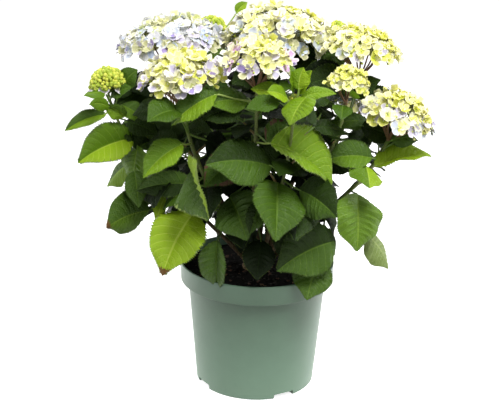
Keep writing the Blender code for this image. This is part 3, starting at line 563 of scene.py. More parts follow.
def posedLeaf(leaf, row):
    heading, rise, stalk, bladeHeading, bladeRise, length, width, roll, fold = row
    return leaf._replace(stalkDir=direction(heading, rise), stalk=stalk * mm,
                         heading=bladeHeading, rise=bladeRise, length=length * mm, roll=roll,
                         ratio=width / length, fold=fold)


def facingRoll(root, heading, rise):
    forward = direction(heading, rise)
    outward = Vector((root.x, root.y, 0))
    outward = outward.normalized() if outward.length > 0.01 else direction(heading, 0)
    wish = up * 0.8 + outward * 0.6
    side = direction(heading + 90, 0)
    face = forward.cross(side)
    return math.degrees(math.atan2(-wish.dot(side), wish.dot(face)))


def ruleLeaf(root, heading, rng, attempt, young, kind):
    swing, dip, size = swings[attempt]
    low = max(0.0, min(1.0, (ruleForm["highFrom"] - root.z) / ruleForm["span"]))
    length, stalk, bladeRise, stalkRise = [
        high + more * low for high, more in
        [ruleForm[key] for key in ("length", "stalk", "rise", "stalkRise")]]
    length *= size * young * rng.uniform(0.92, 1.08)
    stalk *= young * rng.uniform(0.8, 1.3)
    turn = heading + swing + rng.uniform(-9, 9)
    bladeRise += dip + rng.uniform(-8, 8)
    bladeHeading = turn + rng.uniform(-14, 14)
    roll = facingRoll(root, bladeHeading, bladeRise) + rng.uniform(-12, 12)
    return Leaf(kind, root, direction(turn, stalkRise + dip * 0.5), stalk, bladeHeading, bladeRise,
                length, roll, leafForm["ratio"] * rng.uniform(0.94, 1.04), "rule")


def nudged(leaf, attempt):
    if attempt == 0:
        return leaf
    step = 1 + (attempt - 1) // 6
    kind = (attempt - 1) % 6
    heading = leaf.heading + (5 * step, -5 * step, 0, 0, 0, 0)[kind]
    rise = leaf.rise + (0, 0, 5 * step, -5 * step, 0, 0)[kind]
    roll = leaf.roll + (0, 0, 0, 0, 9 * step, -9 * step)[kind]
    return leaf._replace(heading=heading, rise=rise, roll=roll,
                         length=leaf.length * (1 - 0.02 * (step - 1)))


def placeLeaves(room, grown):
    for shoot in shoots:
        node = "foliage_" + shoot.name
        for row in placed.get(shoot.name, ()):
            leaf = placedLeaf(shoot, row)
            for attempt in range(25):
                trial = nudged(leaf, attempt)
                if room.fits(node, trial):
                    room.addLeaf(node, trial)
                    grown[shoot.name][0].append(trial)
                    break


def tryLeaf(room, shoot, root, heading, rng, size, grown, kind="grown", suits=insideCrown,
            tries=len(swings)):
    node = "foliage_" + shoot.name
    for attempt in range(tries):
        trial = ruleLeaf(root, heading, rng, attempt, size, kind)
        if suits(trial) and room.fits(node, trial):
            room.addLeaf(node, trial)
            grown[shoot.name][0].append(trial)
            break


def growPairs(room, grown):
    for order, shoot in enumerate(shoots):
        rng = random.Random(seed + order)
        curve = shootCurve(shoot)
        phase = rng.uniform(0, 180)
        taken = [(row[0] * mm, row[1]) for row in placed.get(shoot.name, ())]
        for pair, height in enumerate(pairHeights(shoot)):
            root = curvePoint(curve, heightToT(curve, height))
            for heading in (phase + 90 * pair, phase + 90 * pair + 180):
                crowded = any(abs(height - h) < ruleForm["apart"]
                              and math.cos(math.radians(heading - a)) > ruleForm["sameSide"]
                              for h, a in taken)
                if not crowded:
                    tryLeaf(room, shoot, root, heading, rng, 0.8 if pair == 0 else 1.0, grown)


def twigKnot(root, end, back):
    return end - (end - root).normalized() * twigForm["radii"][0] * back


# a twig stays only where at least one leaf found room on it
def keepTwig(room, shoot, root, end, grown, before):
    leaves, twigs = grown[shoot.name]
    if len(leaves) > before:
        room.addTwig("foliage_" + shoot.name, root, end)
        twigs.append((root, end))


def growTwigs(room, grown):
    for order, shoot in enumerate(shoots):
        rng = random.Random(seed + 200 + order)
        curve = shootCurve(shoot)
        for height in pairHeights(shoot)[1:]:
            if rng.random() > twigForm["share"]:
                continue
            root = curvePoint(curve, heightToT(curve, height + 0.005))
            for _ in range(8):
                heading = rng.uniform(0, 360)
                end = root + direction(heading, rng.uniform(25, 50)) * rng.uniform(
                    *twigForm["length"])
                if room.fitsTwig("foliage_" + shoot.name, root, end):
                    break
            else:
                continue
            before = len(grown[shoot.name][0])
            for back, turn in ((1.0, 70), (1.5, -70), (2.1, 0)):
                tryLeaf(room, shoot, twigKnot(root, end, back), heading + turn, rng,
                        twigForm["size"], grown)
            keepTwig(room, shoot, root, end, grown, before)


viewPoint = Vector((0, -1.6, 0.797))    # where the camera stands
gapPlane = -0.1
hiddenShare = 0.3       # a rule-grown leaf may have this share of its corners before a shown one
touching = 0.002        # nearer than this, a point lies on a shown leaf and not before it


# sight lines through the open gaps: six around and one in the middle of each
def sightLines():
    lines = []
    for x, z, radius in lightGaps:
        for turn, wide in [(math.tau * k / 6, radius) for k in range(6)] + [(0, 0)]:
            spot = Vector((x + math.cos(turn) * wide, gapPlane, z + math.sin(turn) * wide))
            lines.append((spot - viewPoint).normalized())
    return lines


gapLines = sightLines()


def blocksGap(leaf):
    tree = BVHTree.FromPolygons(*leafCage(leaf))
    return any(tree.ray_cast(viewPoint, line)[0] for line in gapLines)


def standsBefore(point, shown):
    line = point - viewPoint
    distance = shown.ray_cast(viewPoint, line.normalized())[3]
    return distance is not None and distance > line.length + touching


# the share of a leaf's corners that stand before one of the shown leaves
def hidesShown(leaf, shown):
    corners = leafCage(leaf)[0][4:]
    return sum(standsBefore(corner, shown) for corner in corners) / len(corners)


def shownTree(grown):
    points, faces = [], []
    for leaves, _ in grown.values():
        for leaf in leaves:
            if leaf.kind == "placed" and leaf.root.y < leafForm["frontDepth"]:
                more, sides = leafCage(leaf)
                faces += [tuple(i + len(points) for i in side) for side in sides]
                points += more
    return BVHTree.FromPolygons(points, faces)


# finer twigs between the pairs, with small leaves, well inside the same reach
def growInner(room, grown):
    shown = shownTree(grown)

    def suits(leaf):
        return (insideCrown(leaf, twigForm["innerReach"]) and not blocksGap(leaf)
                and hidesShown(leaf, shown) == 0)

    for order, shoot in enumerate(shoots):
        rng = random.Random(seed + 400 + order)
        curve = shootCurve(shoot)
        low, high = splits(shoot)
        height = curvePoint(curve, low).z + 0.004
        top = min(curvePoint(curve, high).z - 0.012, twigForm["innerTop"])
        while height < top:
            root = curvePoint(curve, heightToT(curve, height))
            heading = rng.uniform(0, 360)
            reach = rng.uniform(*twigForm["innerLength"])
            end = root + direction(heading, rng.uniform(5, 50)) * reach
            height += twigForm["innerSteps"]
            if not room.fitsTwig("foliage_" + shoot.name, root, end):
                continue
            if any(standsBefore(root.lerp(end, share), shown) for share in (0.2, 0.6, 1.0)):
                continue
            before = len(grown[shoot.name][0])
            for back, turn in ((1.0, 65), (1.6, -65), (2.4, 0), (7.0, 120), (8.0, -120)):
                tryLeaf(room, shoot, twigKnot(root, end, back), heading + turn, rng,
                        rng.uniform(*twigForm["innerSize"]), grown, "inner", suits, 10)
            keepTwig(room, shoot, root, end, grown, before)


def countLeaves(grown):
    return sum(len(leaves) for leaves, _ in grown.values())


# the shown leaves settle; those by rule that would close an open gap or hide a shown leaf
# are left off, and the fillers are set with no test of room
def fillCrown(room, grown):
    for shoot in shoots:
        leaves = grown[shoot.name][0]
        for number, row in posed.get(shoot.name, {}).items():
            leaves[number] = posedLeaf(leaves[number], row)
    shown = shownTree(grown)
    room.leaves.clear()
    for shoot in shoots:
        leaves = grown[shoot.name][0]
        leaves[:] = [leaf for leaf in leaves if leaf.kind == "placed"
                     or not (blocksGap(leaf) or hidesShown(leaf, shown) > hiddenShare)]
    kept = countLeaves(grown)
    for shoot in shoots:
        leaves = grown[shoot.name][0]
        leaves += [placedLeaf(shoot, row)._replace(kind="filler")
                   for row in fillers.get(shoot.name, ())]
        for leaf in leaves:
            room.addLeaf("foliage_" + shoot.name, leaf)
    print("leaves kept", kept, "and fillers", countLeaves(grown) - kept)


def growFoliage():
    room = Room()
    for name in ("pot", "soil", "crown"):
        room.addNode(name)
    for shoot in shoots:
        low, high = splits(shoot)
        curve = shootCurve(shoot)
        room.addNode("stem_" + shoot.name)
        for node, start, end in (("foliage_", low, high), ("bloom_", high, 1.0)):
            if start < end:
                stops = evenStops(start, end, 3)
                shape = tubeShape([curvePoint(curve, t) for t in stops],
                                  [stemRadius(shoot, t) for t in stops], 6)
                room.addShape(node + shoot.name, *shape)
        if shoot.bloom != "leafy":
            room.addShape("bloom_" + shoot.name,
                          *domeCage(headCentre(shoot), shootAxis(shoot),
                                    shoot.width / 2 + 0.006, shoot.dome + 0.006))
    grown = {shoot.name: ([], []) for shoot in shoots}
    placeLeaves(room, grown)
    growPairs(room, grown)
    growTwigs(room, grown)
    print("leaves grown", countLeaves(grown))
    fillCrown(room, grown)
    outer = countLeaves(grown)
    growInner(room, grown)
    print("inner leaves", countLeaves(grown) - outer)
    return grown


# a socket that can be reckoned with: each operator adds a Math node
class Wire:
    def __init__(self, finish, socket):
        self.finish = finish
        self.socket = socket

    def reckon(self, operation, first, second):
        return self.finish.add("ShaderNodeMath", {"operation": operation}, {0: first, 1: second})

    def __add__(self, other):
        return self.reckon("ADD", self, other)

    def __radd__(self, other):
        return self.reckon("ADD", other, self)

    def __sub__(self, other):
        return self.reckon("SUBTRACT", self, other)

    def __rsub__(self, other):
        return self.reckon("SUBTRACT", other, self)

    def __mul__(self, other):
        return self.reckon("MULTIPLY", self, other)

    def __rmul__(self, other):
        return self.reckon("MULTIPLY", other, self)


# sRGB, 0 to 255, to the renderer's own scale
def linear(colour):
    scaled = [c / 255 for c in colour]
    return (*[c / 12.92 if c <= 0.04045 else ((c + 0.055) / 1.055) ** 2.4 for c in scaled], 1.0)


class Finish:
    def __init__(self, name, colour, roughness):
        self.material = bpy.data.materials.new(name)
        self.material.use_nodes = True
        self.tree = self.material.node_tree
        self.shader = self.tree.nodes["Principled BSDF"]
        self.shader.inputs["Base Color"].default_value = linear(colour)
        self.shader.inputs["Roughness"].default_value = roughness
        self.material.diffuse_color = linear(colour)

    def add(self, kind, settings=None, sockets=None, out=0):
        node = self.tree.nodes.new(kind)
        for key, value in (settings or {}).items():
            if key == "stops":
                ramp = node.color_ramp.elements
                while len(ramp) < len(value):
                    ramp.new(0.5)
                for stop, (place, colour) in zip(ramp, value):
                    stop.position = place
                    stop.color = colour
            else:
                setattr(node, key, value)
        for key, value in (sockets or {}).items():
            if isinstance(value, Wire):
                self.tree.links.new(value.socket, node.inputs[key])
            else:
                node.inputs[key].default_value = value
        return Wire(self, node.outputs[out])

    def place(self):
        return self.add("ShaderNodeTexCoord", out=3)

    def noise(self, scale, detail=3.0, rough=0.5, place=None):
        return self.add("ShaderNodeTexNoise", {}, {
            "Vector": place or self.place(), "Scale": scale, "Detail": detail, "Roughness": rough})

    def ramp(self, factor, stops):
        shown = [(place, linear(colour)) for place, colour in stops]
        return self.add("ShaderNodeValToRGB", {"stops": shown}, {0: factor})

    def feed(self, name, wire):
        self.tree.links.new(wire.socket, self.shader.inputs[name])

    def bump(self, height, distance, strength=1.0):
        self.feed("Normal", self.add("ShaderNodeBump", {}, {
            "Strength": strength, "Distance": distance, "Height": height}))


# one colour over a fine grain; with a swing the gloss varies too
def grainFinish(name, colour, roughness, grain, depth, strength, swing=False):
    made = Finish(name, colour, roughness)
    if swing:
        made.feed("Roughness", roughness - 0.06 + made.noise(260, 3, 0.6) * 0.14)
    made.bump(made.noise(grain, 3, 0.6), depth, strength)
    return made


# gathers copies of small shapes, then joins them as one mesh
class Heap:
    def __init__(self):
        self.points, self.faces, self.slots = [], [], []

    def add(self, points, faces, slots):
        start = len(self.points)
        self.points.extend(points)
        self.faces.extend([tuple(i + start for i in face) for face in faces])
        self.slots.extend(slots if isinstance(slots, (list, tuple)) else [slots] * len(faces))

    def make(self, name, finishes, angle, slot, nodes):
        mesh = bpy.data.meshes.new(name)
        mesh.from_pydata([tuple(p) for p in self.points], [], self.faces)
        for finish in finishes:
            mesh.materials.append(finish.material)
        mesh.polygons.foreach_set("material_index", self.slots)
        mesh.update()
        made = bpy.data.objects.new(name, mesh)
        bpy.context.scene.collection.objects.link(made)
        settle(made, angle, nodes)


# the turn that stands a shape on a normal
def trackUp(normal):
    return normal.to_track_quat("Z", "Y")


def selectOnly(made):
    bpy.ops.object.select_all(action="DESELECT")
    made.select_set(True)
    bpy.context.view_layer.objects.active = made


# a finished piece: its place in its mesh, smooth up to an angle, riding on the one body
def settle(made, angle, nodes):
    selectOnly(made)
    applyPlace()
    bpy.ops.object.shade_smooth_by_angle(angle=math.radians(angle))
    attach(made, "root")
    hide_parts(*nodes)
    count = sum(len(p.vertices) - 2 for p in made.data.polygons)
    print(made.name, count, "triangles")


# a piece with a single finish
def dress(made, finish, angle, nodes):
    made.data.materials.clear()
    made.data.materials.append(finish.material)
    settle(made, angle, nodes)


# a primitive on its own, with nothing else selected
def primitive(operator, **settings):
    bpy.ops.object.select_all(action="DESELECT")
    operator(**settings)
    return bpy.context.object


def applyPlace():
    bpy.ops.object.transform_apply(location=True, rotation=True, scale=True)


def editStart(made):
    selectOnly(made)
    bpy.ops.object.mode_set(mode="EDIT")
    bpy.ops.mesh.select_mode(type="VERT")
    bpy.ops.mesh.select_all(action="DESELECT")


def pickVerts(made, test, mode="VERT"):
    bpy.ops.mesh.select_mode(type=mode)
    bpy.ops.mesh.select_all(action="DESELECT")
    bm = bmesh.from_edit_mesh(made.data)
    for vert in bm.verts:
        vert.select_set(bool(test(vert)))
    bm.select_flush_mode()
    for item in (bm.faces if mode == "FACE" else bm.edges if mode == "EDGE" else ()):
        item.select_set(all(test(vert) for vert in item.verts))
    bmesh.update_edit_mesh(made.data)


def shapeOf(made):
    points = [v.co.copy() for v in made.data.vertices]
    faces = [tuple(p.vertices) for p in made.data.polygons]
    slots = [p.material_index for p in made.data.polygons]
    return points, faces, slots


def dropObject(made):
    mesh = made.data
    bpy.data.objects.remove(made)
    bpy.data.meshes.remove(mesh)


# a disc extruded ring by ring along a profile of radius and height
def extrudeProfile(name, profile, segments):
    radius, height = profile[0]
    made = primitive(bpy.ops.mesh.primitive_circle_add, vertices=segments, radius=radius,
                     fill_type="NGON", location=(0, 0, height))
    made.name = name
    editStart(made)
    bpy.ops.mesh.select_all(action="SELECT")
    bpy.ops.mesh.duplicate()
    for (r0, z0), (r1, z1) in zip(profile, profile[1:]):
        bpy.ops.mesh.extrude_region_move(TRANSFORM_OT_translate={"value": (0, 0, z1 - z0)})
        bpy.ops.transform.resize(value=(r1 / r0, r1 / r0, 1))
    bpy.ops.mesh.select_all(action="SELECT")
    bpy.ops.mesh.remove_doubles(threshold=1e-6)
    bpy.ops.mesh.normals_make_consistent(inside=False)
    bpy.ops.object.mode_set(mode="OBJECT")
    applyPlace()
    return made


def arc(centreR, centreZ, radius, first, last, count):
    return [(centreR + radius * math.cos(math.radians(first + (last - first) * i / count)),
             centreZ + radius * math.sin(math.radians(first + (last - first) * i / count)))
            for i in range(count + 1)]


# ------ pot
# what the pot is turned from: sizes in metres, headings seen from above
potForm = {
    "height": 0.190, "rimRadius": 0.115, "collarDrop": 0.029, "shoulderRadius": 0.103,
    "footRadius": 0.0893, "wall": 0.0022, "floor": 0.003, "lipRound": 0.0011,
    "collarTaper": 0.0007, "collarStep": 0.004, "segments": 144,
    "notchCount": 4, "notchFirst": -60, "notchWidth": 0.033, "notchHeight": 0.0075,
    "notchDepth": 0.016, "notchRound": 0.0025,
}


def potFinish():
    made = Finish("sagePlastic", (104, 134, 110), 0.36)
    grain = made.noise(38, 4, 0.6)
    height = made.add("ShaderNodeSeparateXYZ", {}, {0: made.place()}, 2)
    # painted shade and painted light: the base colour is darkest just under the collar, where the
    # foliage and the collar shade the pot, a little lighter on the collar, and lightest at the
    # foot, where the floor's light falls
    made.feed("Base Color", made.ramp(height * 5 + (grain - 0.5) * 0.12, (
        (0.05, (132, 164, 139)), (0.40, (112, 142, 119)),
        (0.78, (80, 107, 85)), (0.97, (94, 123, 100)))))
    made.feed("Roughness", 0.33 + made.noise(90, 3, 0.6) * 0.12)
    made.bump(made.noise(900, 2, 0.5), 0.00006, 0.5)
    return made


def buildPot():
    p = potForm
    shoulder = p["height"] - p["collarDrop"]
    lip, rim, foot = p["lipRound"], p["rimRadius"], p["footRadius"]
    taper = (p["shoulderRadius"] - foot) / (shoulder - p["floor"])
    inside = foot + taper * (shoulder - p["floor"]) - p["wall"]
    profile = [(foot - 0.016, 0.0012), (foot - 0.013, 0.0), (foot - 0.0035, 0.0)]
    profile += arc(foot - 0.0022, 0.0022, 0.0022, -75, 0, 4)
    profile += [(foot + taper * 0.03, 0.0330), (foot + taper * 0.09, 0.0930)]
    profile += [(p["shoulderRadius"] - 0.0004, shoulder - 0.004)]
    profile += arc(p["shoulderRadius"] + 0.0014, shoulder - 0.0022, 0.0016, 180, 100, 3)
    collar = rim - p["collarTaper"]
    profile += [(collar - 0.0022, shoulder)]
    profile += arc(collar - 0.0014, shoulder + 0.0014, 0.0014, -80, 0, 4)
    profile += [(rim - 0.0004, p["height"] - 0.0065), (rim - 0.0002, p["height"] - 0.0050)]
    profile += arc(rim - lip, p["height"] - lip, lip, 0, 90, 4)
    profile += arc(rim - p["wall"] + lip * 0.4, p["height"] - lip, lip, 95, 180, 4)
    profile += [(rim - p["wall"] - p["collarTaper"], shoulder + p["collarStep"])]
    profile += [(inside, shoulder + 0.001), (foot - p["wall"] + taper * 0.003, p["floor"] + 0.002)]
    profile += [(foot - p["wall"] - 0.002, p["floor"])]
    made = extrudeProfile("potShell", profile, p["segments"])
    for k in range(p["notchCount"]):
        heading = p["notchFirst"] + 360 * k / p["notchCount"]
        spot = direction(heading, 0) * (foot + 0.004)
        cutter = primitive(bpy.ops.mesh.primitive_cube_add, size=1, location=spot,
                           rotation=(0, 0, math.radians(heading)),
                           scale=(2 * p["notchDepth"], p["notchWidth"], 2 * p["notchHeight"]))
        applyPlace()
        editStart(cutter)
        bpy.ops.mesh.select_all(action="SELECT")
        bpy.ops.mesh.bevel(offset=p["notchRound"], segments=3, affect="EDGES")
        bpy.ops.object.mode_set(mode="OBJECT")
        cut = made.modifiers.new("notch", "BOOLEAN")
        cut.operation = "DIFFERENCE"
        cut.object = cutter
        selectOnly(made)
        bpy.ops.object.modifier_apply(modifier="notch")
        dropObject(cutter)
    dress(made, potFinish(), 32, ["pot"])
    print("pot turned")


# ------ soil
soilForm = {
    "top": 0.175, "dome": 0.004, "gap": 0.0015, "segments": 84, "rings": 17,
    "lumps": 0.0016, "chips": 420, "chipSize": (0.0025, 0.0075),
}
chipCorners = ((-1, -1, -1), (1, -1, -1), (1, 1, -1), (-1, 1, -1),
               (-1, -1, 1), (1, -1, 1), (1, 1, 1), (-1, 1, 1))
chipFaces = ((3, 2, 1, 0), (4, 5, 6, 7), (0, 1, 5, 4), (1, 2, 6, 5), (2, 3, 7, 6), (3, 0, 4, 7))
chipColours = (("peatChip", (32, 25, 19)), ("darkChip", (20, 16, 13)),
               ("barkChip", (74, 50, 34)), ("paleFibre", (112, 88, 62)))


def soilFinish():
    made = Finish("darkPeat", (34, 26, 20), 0.95)
    made.shader.inputs["Specular IOR Level"].default_value = 0.15
    grain = made.noise(420, 6, 0.7)
    made.feed("Base Color", made.ramp(grain, (
        (0.32, (8, 7, 6)), (0.56, (18, 15, 12)), (0.78, (42, 33, 25)))))
    made.bump(grain, 0.0012, 0.9)
    return made


def soilHeight(x, y):
    r = math.hypot(x, y)
    heap = soilForm["dome"] * max(0.0, 1 - r / 0.105)
    lumps = noise.fractal(Vector((x, y, 0.3)) * 95, 0.8, 2.1, 5) * soilForm["lumps"]
    return soilForm["top"] + heap + lumps


def buildSoil():
    p, s = potForm, soilForm
    shoulder = p["height"] - p["collarDrop"]
    rim = p["rimRadius"] - p["wall"] - s["gap"] * 0.4 - p["collarTaper"]
    bottom = shoulder + 0.006
    made = primitive(bpy.ops.mesh.primitive_cylinder_add, vertices=s["segments"], radius=rim,
                     depth=s["top"] - bottom, location=(0, 0, (s["top"] + bottom) / 2))
    made.name = "soilBed"
    applyPlace()
    editStart(made)
    pickVerts(made, lambda v: v.co.z > s["top"] - 1e-4, "FACE")
    for _ in range(s["rings"]):
        bpy.ops.mesh.inset(thickness=rim / (s["rings"] + 1), use_even_offset=False)
    bpy.ops.mesh.poke()
    bpy.ops.object.mode_set(mode="OBJECT")
    for vert in made.data.vertices:
        if vert.co.z > s["top"] - 1e-4 and math.hypot(vert.co.x, vert.co.y) < rim - 1e-4:
            vert.co.z = soilHeight(vert.co.x, vert.co.y)
    dress(made, soilFinish(), 60, ["soil"])
    chips = Heap()
    rng = random.Random(seed + 900)
    for _ in range(s["chips"]):
        r = (rim - 0.006) * math.sqrt(rng.uniform(0.04, 1))
        a = rng.uniform(0, math.tau)
        x, y = r * math.cos(a), r * math.sin(a)
        long = rng.uniform(*s["chipSize"])
        half = Vector((long, long * rng.uniform(0.35, 0.7), long * rng.uniform(0.15, 0.3))) / 2
        turn = Matrix.Rotation(rng.uniform(0, math.tau), 3, "Z") @ Matrix.Rotation(
            rng.gauss(0, 0.35), 3, "X") @ Matrix.Rotation(rng.gauss(0, 0.35), 3, "Y")
        spot = Vector((x, y, soilHeight(x, y) + half.z * 0.4))
        corners = []
        for sx, sy, sz in chipCorners:
            jog = [rng.uniform(0.6, 1.15) for _ in range(3)]
            corners.append(spot + turn @ Vector((sx * half.x * jog[0], sy * half.y * jog[1],
                                                 sz * half.z * jog[2])))
        chips.add(corners, chipFaces, rng.choice((0, 0, 0, 1, 1, 1, 0, 1, 2, 2, 3)))
    finishes = [grainFinish(name, colour, 0.85, 1500, 0.0003, 0.6) for name, colour in chipColours]
    chips.make("barkChips", finishes, 30, "potting_soil", ["soil"])
    print("soil laid")


# ------ woody crown and stems
crownForm = {
    "radius": 0.0262, "foot": 0.150, "stubTop": 0.193, "segments": 40,
    "relief": 0.0013,
    # radius and height of the rounded top
    "shoulder": ((0.0243, 0.171), (0.0236, 0.175), (0.0229, 0.178), (0.0200, 0.1808),
                 (0.0160, 0.1828), (0.0120, 0.1836), (0.0080, 0.1842), (0.0040, 0.1846)),
}


def woodFinish():
    made = Finish("greyBark", (118, 98, 70), 0.85)
    place = made.add("ShaderNodeMapping", {}, {"Vector": made.place(), "Scale": (1.0, 1.0, 0.22)})
    streak = made.noise(330, 6, 0.65, place)
    made.feed("Base Color", made.ramp(streak, (
        (0.28, (66, 52, 38)), (0.50, (120, 100, 70)), (0.72, (164, 146, 112)))))
    made.bump(streak, 0.0009, 0.8)
    return made


def greenStemFinish():
    made = Finish("greenBark", (112, 128, 58), 0.55)
    spots = made.noise(700, 3, 0.6)
    made.feed("Base Color", made.ramp(spots, (
        (0.34, (92, 74, 44)), (0.46, (104, 122, 52)), (0.75, (138, 152, 78)))))
    made.bump(spots, 0.0003, 0.5)
    return made


def buildCrown():
    c = crownForm
    profile = [(c["radius"], c["foot"]), (c["radius"] * 0.99, c["foot"] + 0.008),
               (c["radius"] * 0.96, 0.1665), *c["shoulder"]]
    made = extrudeProfile("woodyCrown", profile, c["segments"])
    editStart(made)
    pickVerts(made, lambda v: v.co.z > c["foot"] + 0.001, "FACE")
    bpy.ops.mesh.subdivide(number_cuts=1)
    bpy.ops.object.mode_set(mode="OBJECT")
    for vert in made.data.vertices:
        x, y, z = vert.co
        r = math.hypot(x, y)
        if r > 0.002 and z > c["foot"] + 0.001:
            ridge = noise.fractal(Vector((x * 160, y * 160, z * 60)), 0.8, 2.0, 4)
            push = 1 + ridge * c["relief"] / max(r, 0.012)
            vert.co = (x * push, y * push, z + ridge * c["relief"] * 0.4)
    dress(made, woodFinish(), 60, ["crown"])


def barkTube(heap, shoot, start, end, slot, strength):
    curve = shootCurve(shoot)
    rough = [curvePoint(curve, t) for t in evenStops(start, end, 20)]
    length = sum((b - a).length for a, b in zip(rough, rough[1:]))
    stops = evenStops(start, end, max(4, round(length / stemForm["ringSpacing"])))
    points = [curvePoint(curve, t) for t in stops]
    knots = pairHeights(shoot)
    radii = []
    for t, point in zip(stops, points):
        swell = max((math.exp(-((point.z - h) / stemForm["swellReach"]) ** 2) for h in knots),
                    default=0)
        radii.append(stemRadius(shoot, t) + stemForm["nodeSwell"] * swell)
    offset = shoots.index(shoot) * 7.3

    def relief(i, a):
        spot = Vector((math.cos(a) * 1.6 + offset, math.sin(a) * 1.6, i * 0.35))
        return noise.fractal(spot, 0.9, 2.0, 3) * stemForm["barkRelief"] * strength

    heap.add(*tubeShape(points, radii, stemForm["sides"], relief), slot)


stalkColours = (("redTwig", (120, 104, 52)), ("leafStalkGreen", (108, 138, 54)),
                ("leafStalkPale", (158, 182, 88)))
# the pale stalk goes with the bright tint, which is painted light, and with lime, which is partly
# the young leaves' own colour and partly painted light
stalkSlots = {"lime": 3, "bright": 3}       # the paler leaves have the pale stalk


def buildStems(grown):
    woody, green = Heap(), Heap()
    for shoot in shoots:
        low = splits(shoot)[0]
        curve = shootCurve(shoot)
        back = curveTangent(curve, 0.0)
        radius = stemRadius(shoot, 0)
        woody.add(*tubeShape([curve[0] - back * below for below, _ in stemForm["flare"]],
                             [radius * wider for _, wider in stemForm["flare"]], 12,
                             lambda i, a: noise.noise(Vector((math.cos(a) * 2, math.sin(a) * 2,
                                                              i + 3.0))) * 0.0006), 0)
        barkTube(woody, shoot, 0.0, low, 0, 1.6)
        barkTube(green, shoot, low, 1.0, 0, 0.7)
        for root, end in grown[shoot.name][1]:
            middle = (root + end) / 2 + up * -0.001
            foot, tip = twigForm["radii"]
            green.add(*tubeShape([root, middle, end], [foot, (foot + tip) / 2, tip], 7), 1)
        for leaf in grown[shoot.name][0]:
            base = leafBase(leaf)
            forward = bladePoint(leaf, 0.0)[1]
            bend = leaf.root + leaf.stalkDir * leaf.stalk * 0.55 - up * 0.03 * leaf.stalk
            thick = leafForm["stalkRadius"] * (0.72 if leaf.kind == "inner" else 1.0)
            points = [leaf.root, leaf.root.lerp(bend, 0.55), bend, base.lerp(bend, 0.12),
                      base + forward * leaf.length * 0.05]
            green.add(*tubeShape(points, [thick * k for k in (1.35, 1.0, 0.9, 0.92, 0.6)], 7),
                      stalkSlots.get(leaf.tint.split("/")[-1], 2))
    woody.make("barkStems", [woodFinish()], 50, "old_wood",
               ["stem_" + shoot.name for shoot in shoots])
    green.make("greenStems",
               [greenStemFinish()] + [stalkFinish(name, colour) for name, colour in stalkColours],
               50, "green_stem", ["foliage_" + shoot.name for shoot in shoots])
    print("stems drawn")


def stalkFinish(name, colour):
    return grainFinish(name, colour, 0.5, 850, 0.00025, 0.45, True)


# ------ leaves
# body and vein colour of each tint; the tints are mostly painted light and shade: shade and deep
# are painted shade on leaves inside the crown, low in it or under others, bright is painted light
# on lit leaves, fresh and lime are partly the young leaves' own yellow-green and partly painted
# light, and sheen is a pale grey-green underside with a painted sheen on it
leafTints = {
    "shade": ((20, 32, 10), (27, 42, 15)),
    "deep": ((38, 58, 12), (54, 78, 24)),
    "mid": ((66, 97, 16), (92, 122, 36)),
    "fresh": ((92, 127, 18), (124, 154, 48)),
    "bright": ((116, 151, 20), (150, 178, 58)),
    "lime": ((142, 174, 26), (176, 198, 72)),
    "sheen": ((124, 144, 74), (152, 168, 100)),
}
dullTints = {"shade": 0.08, "deep": 0.15}
undersides = (("leafUndersideDark", (84, 108, 44)), ("leafUndersidePale", (146, 168, 88)))
faded = {"tip": ("leafTipBrown", (104, 74, 36)), "rim": ("leafRimPurple", (96, 70, 50))}


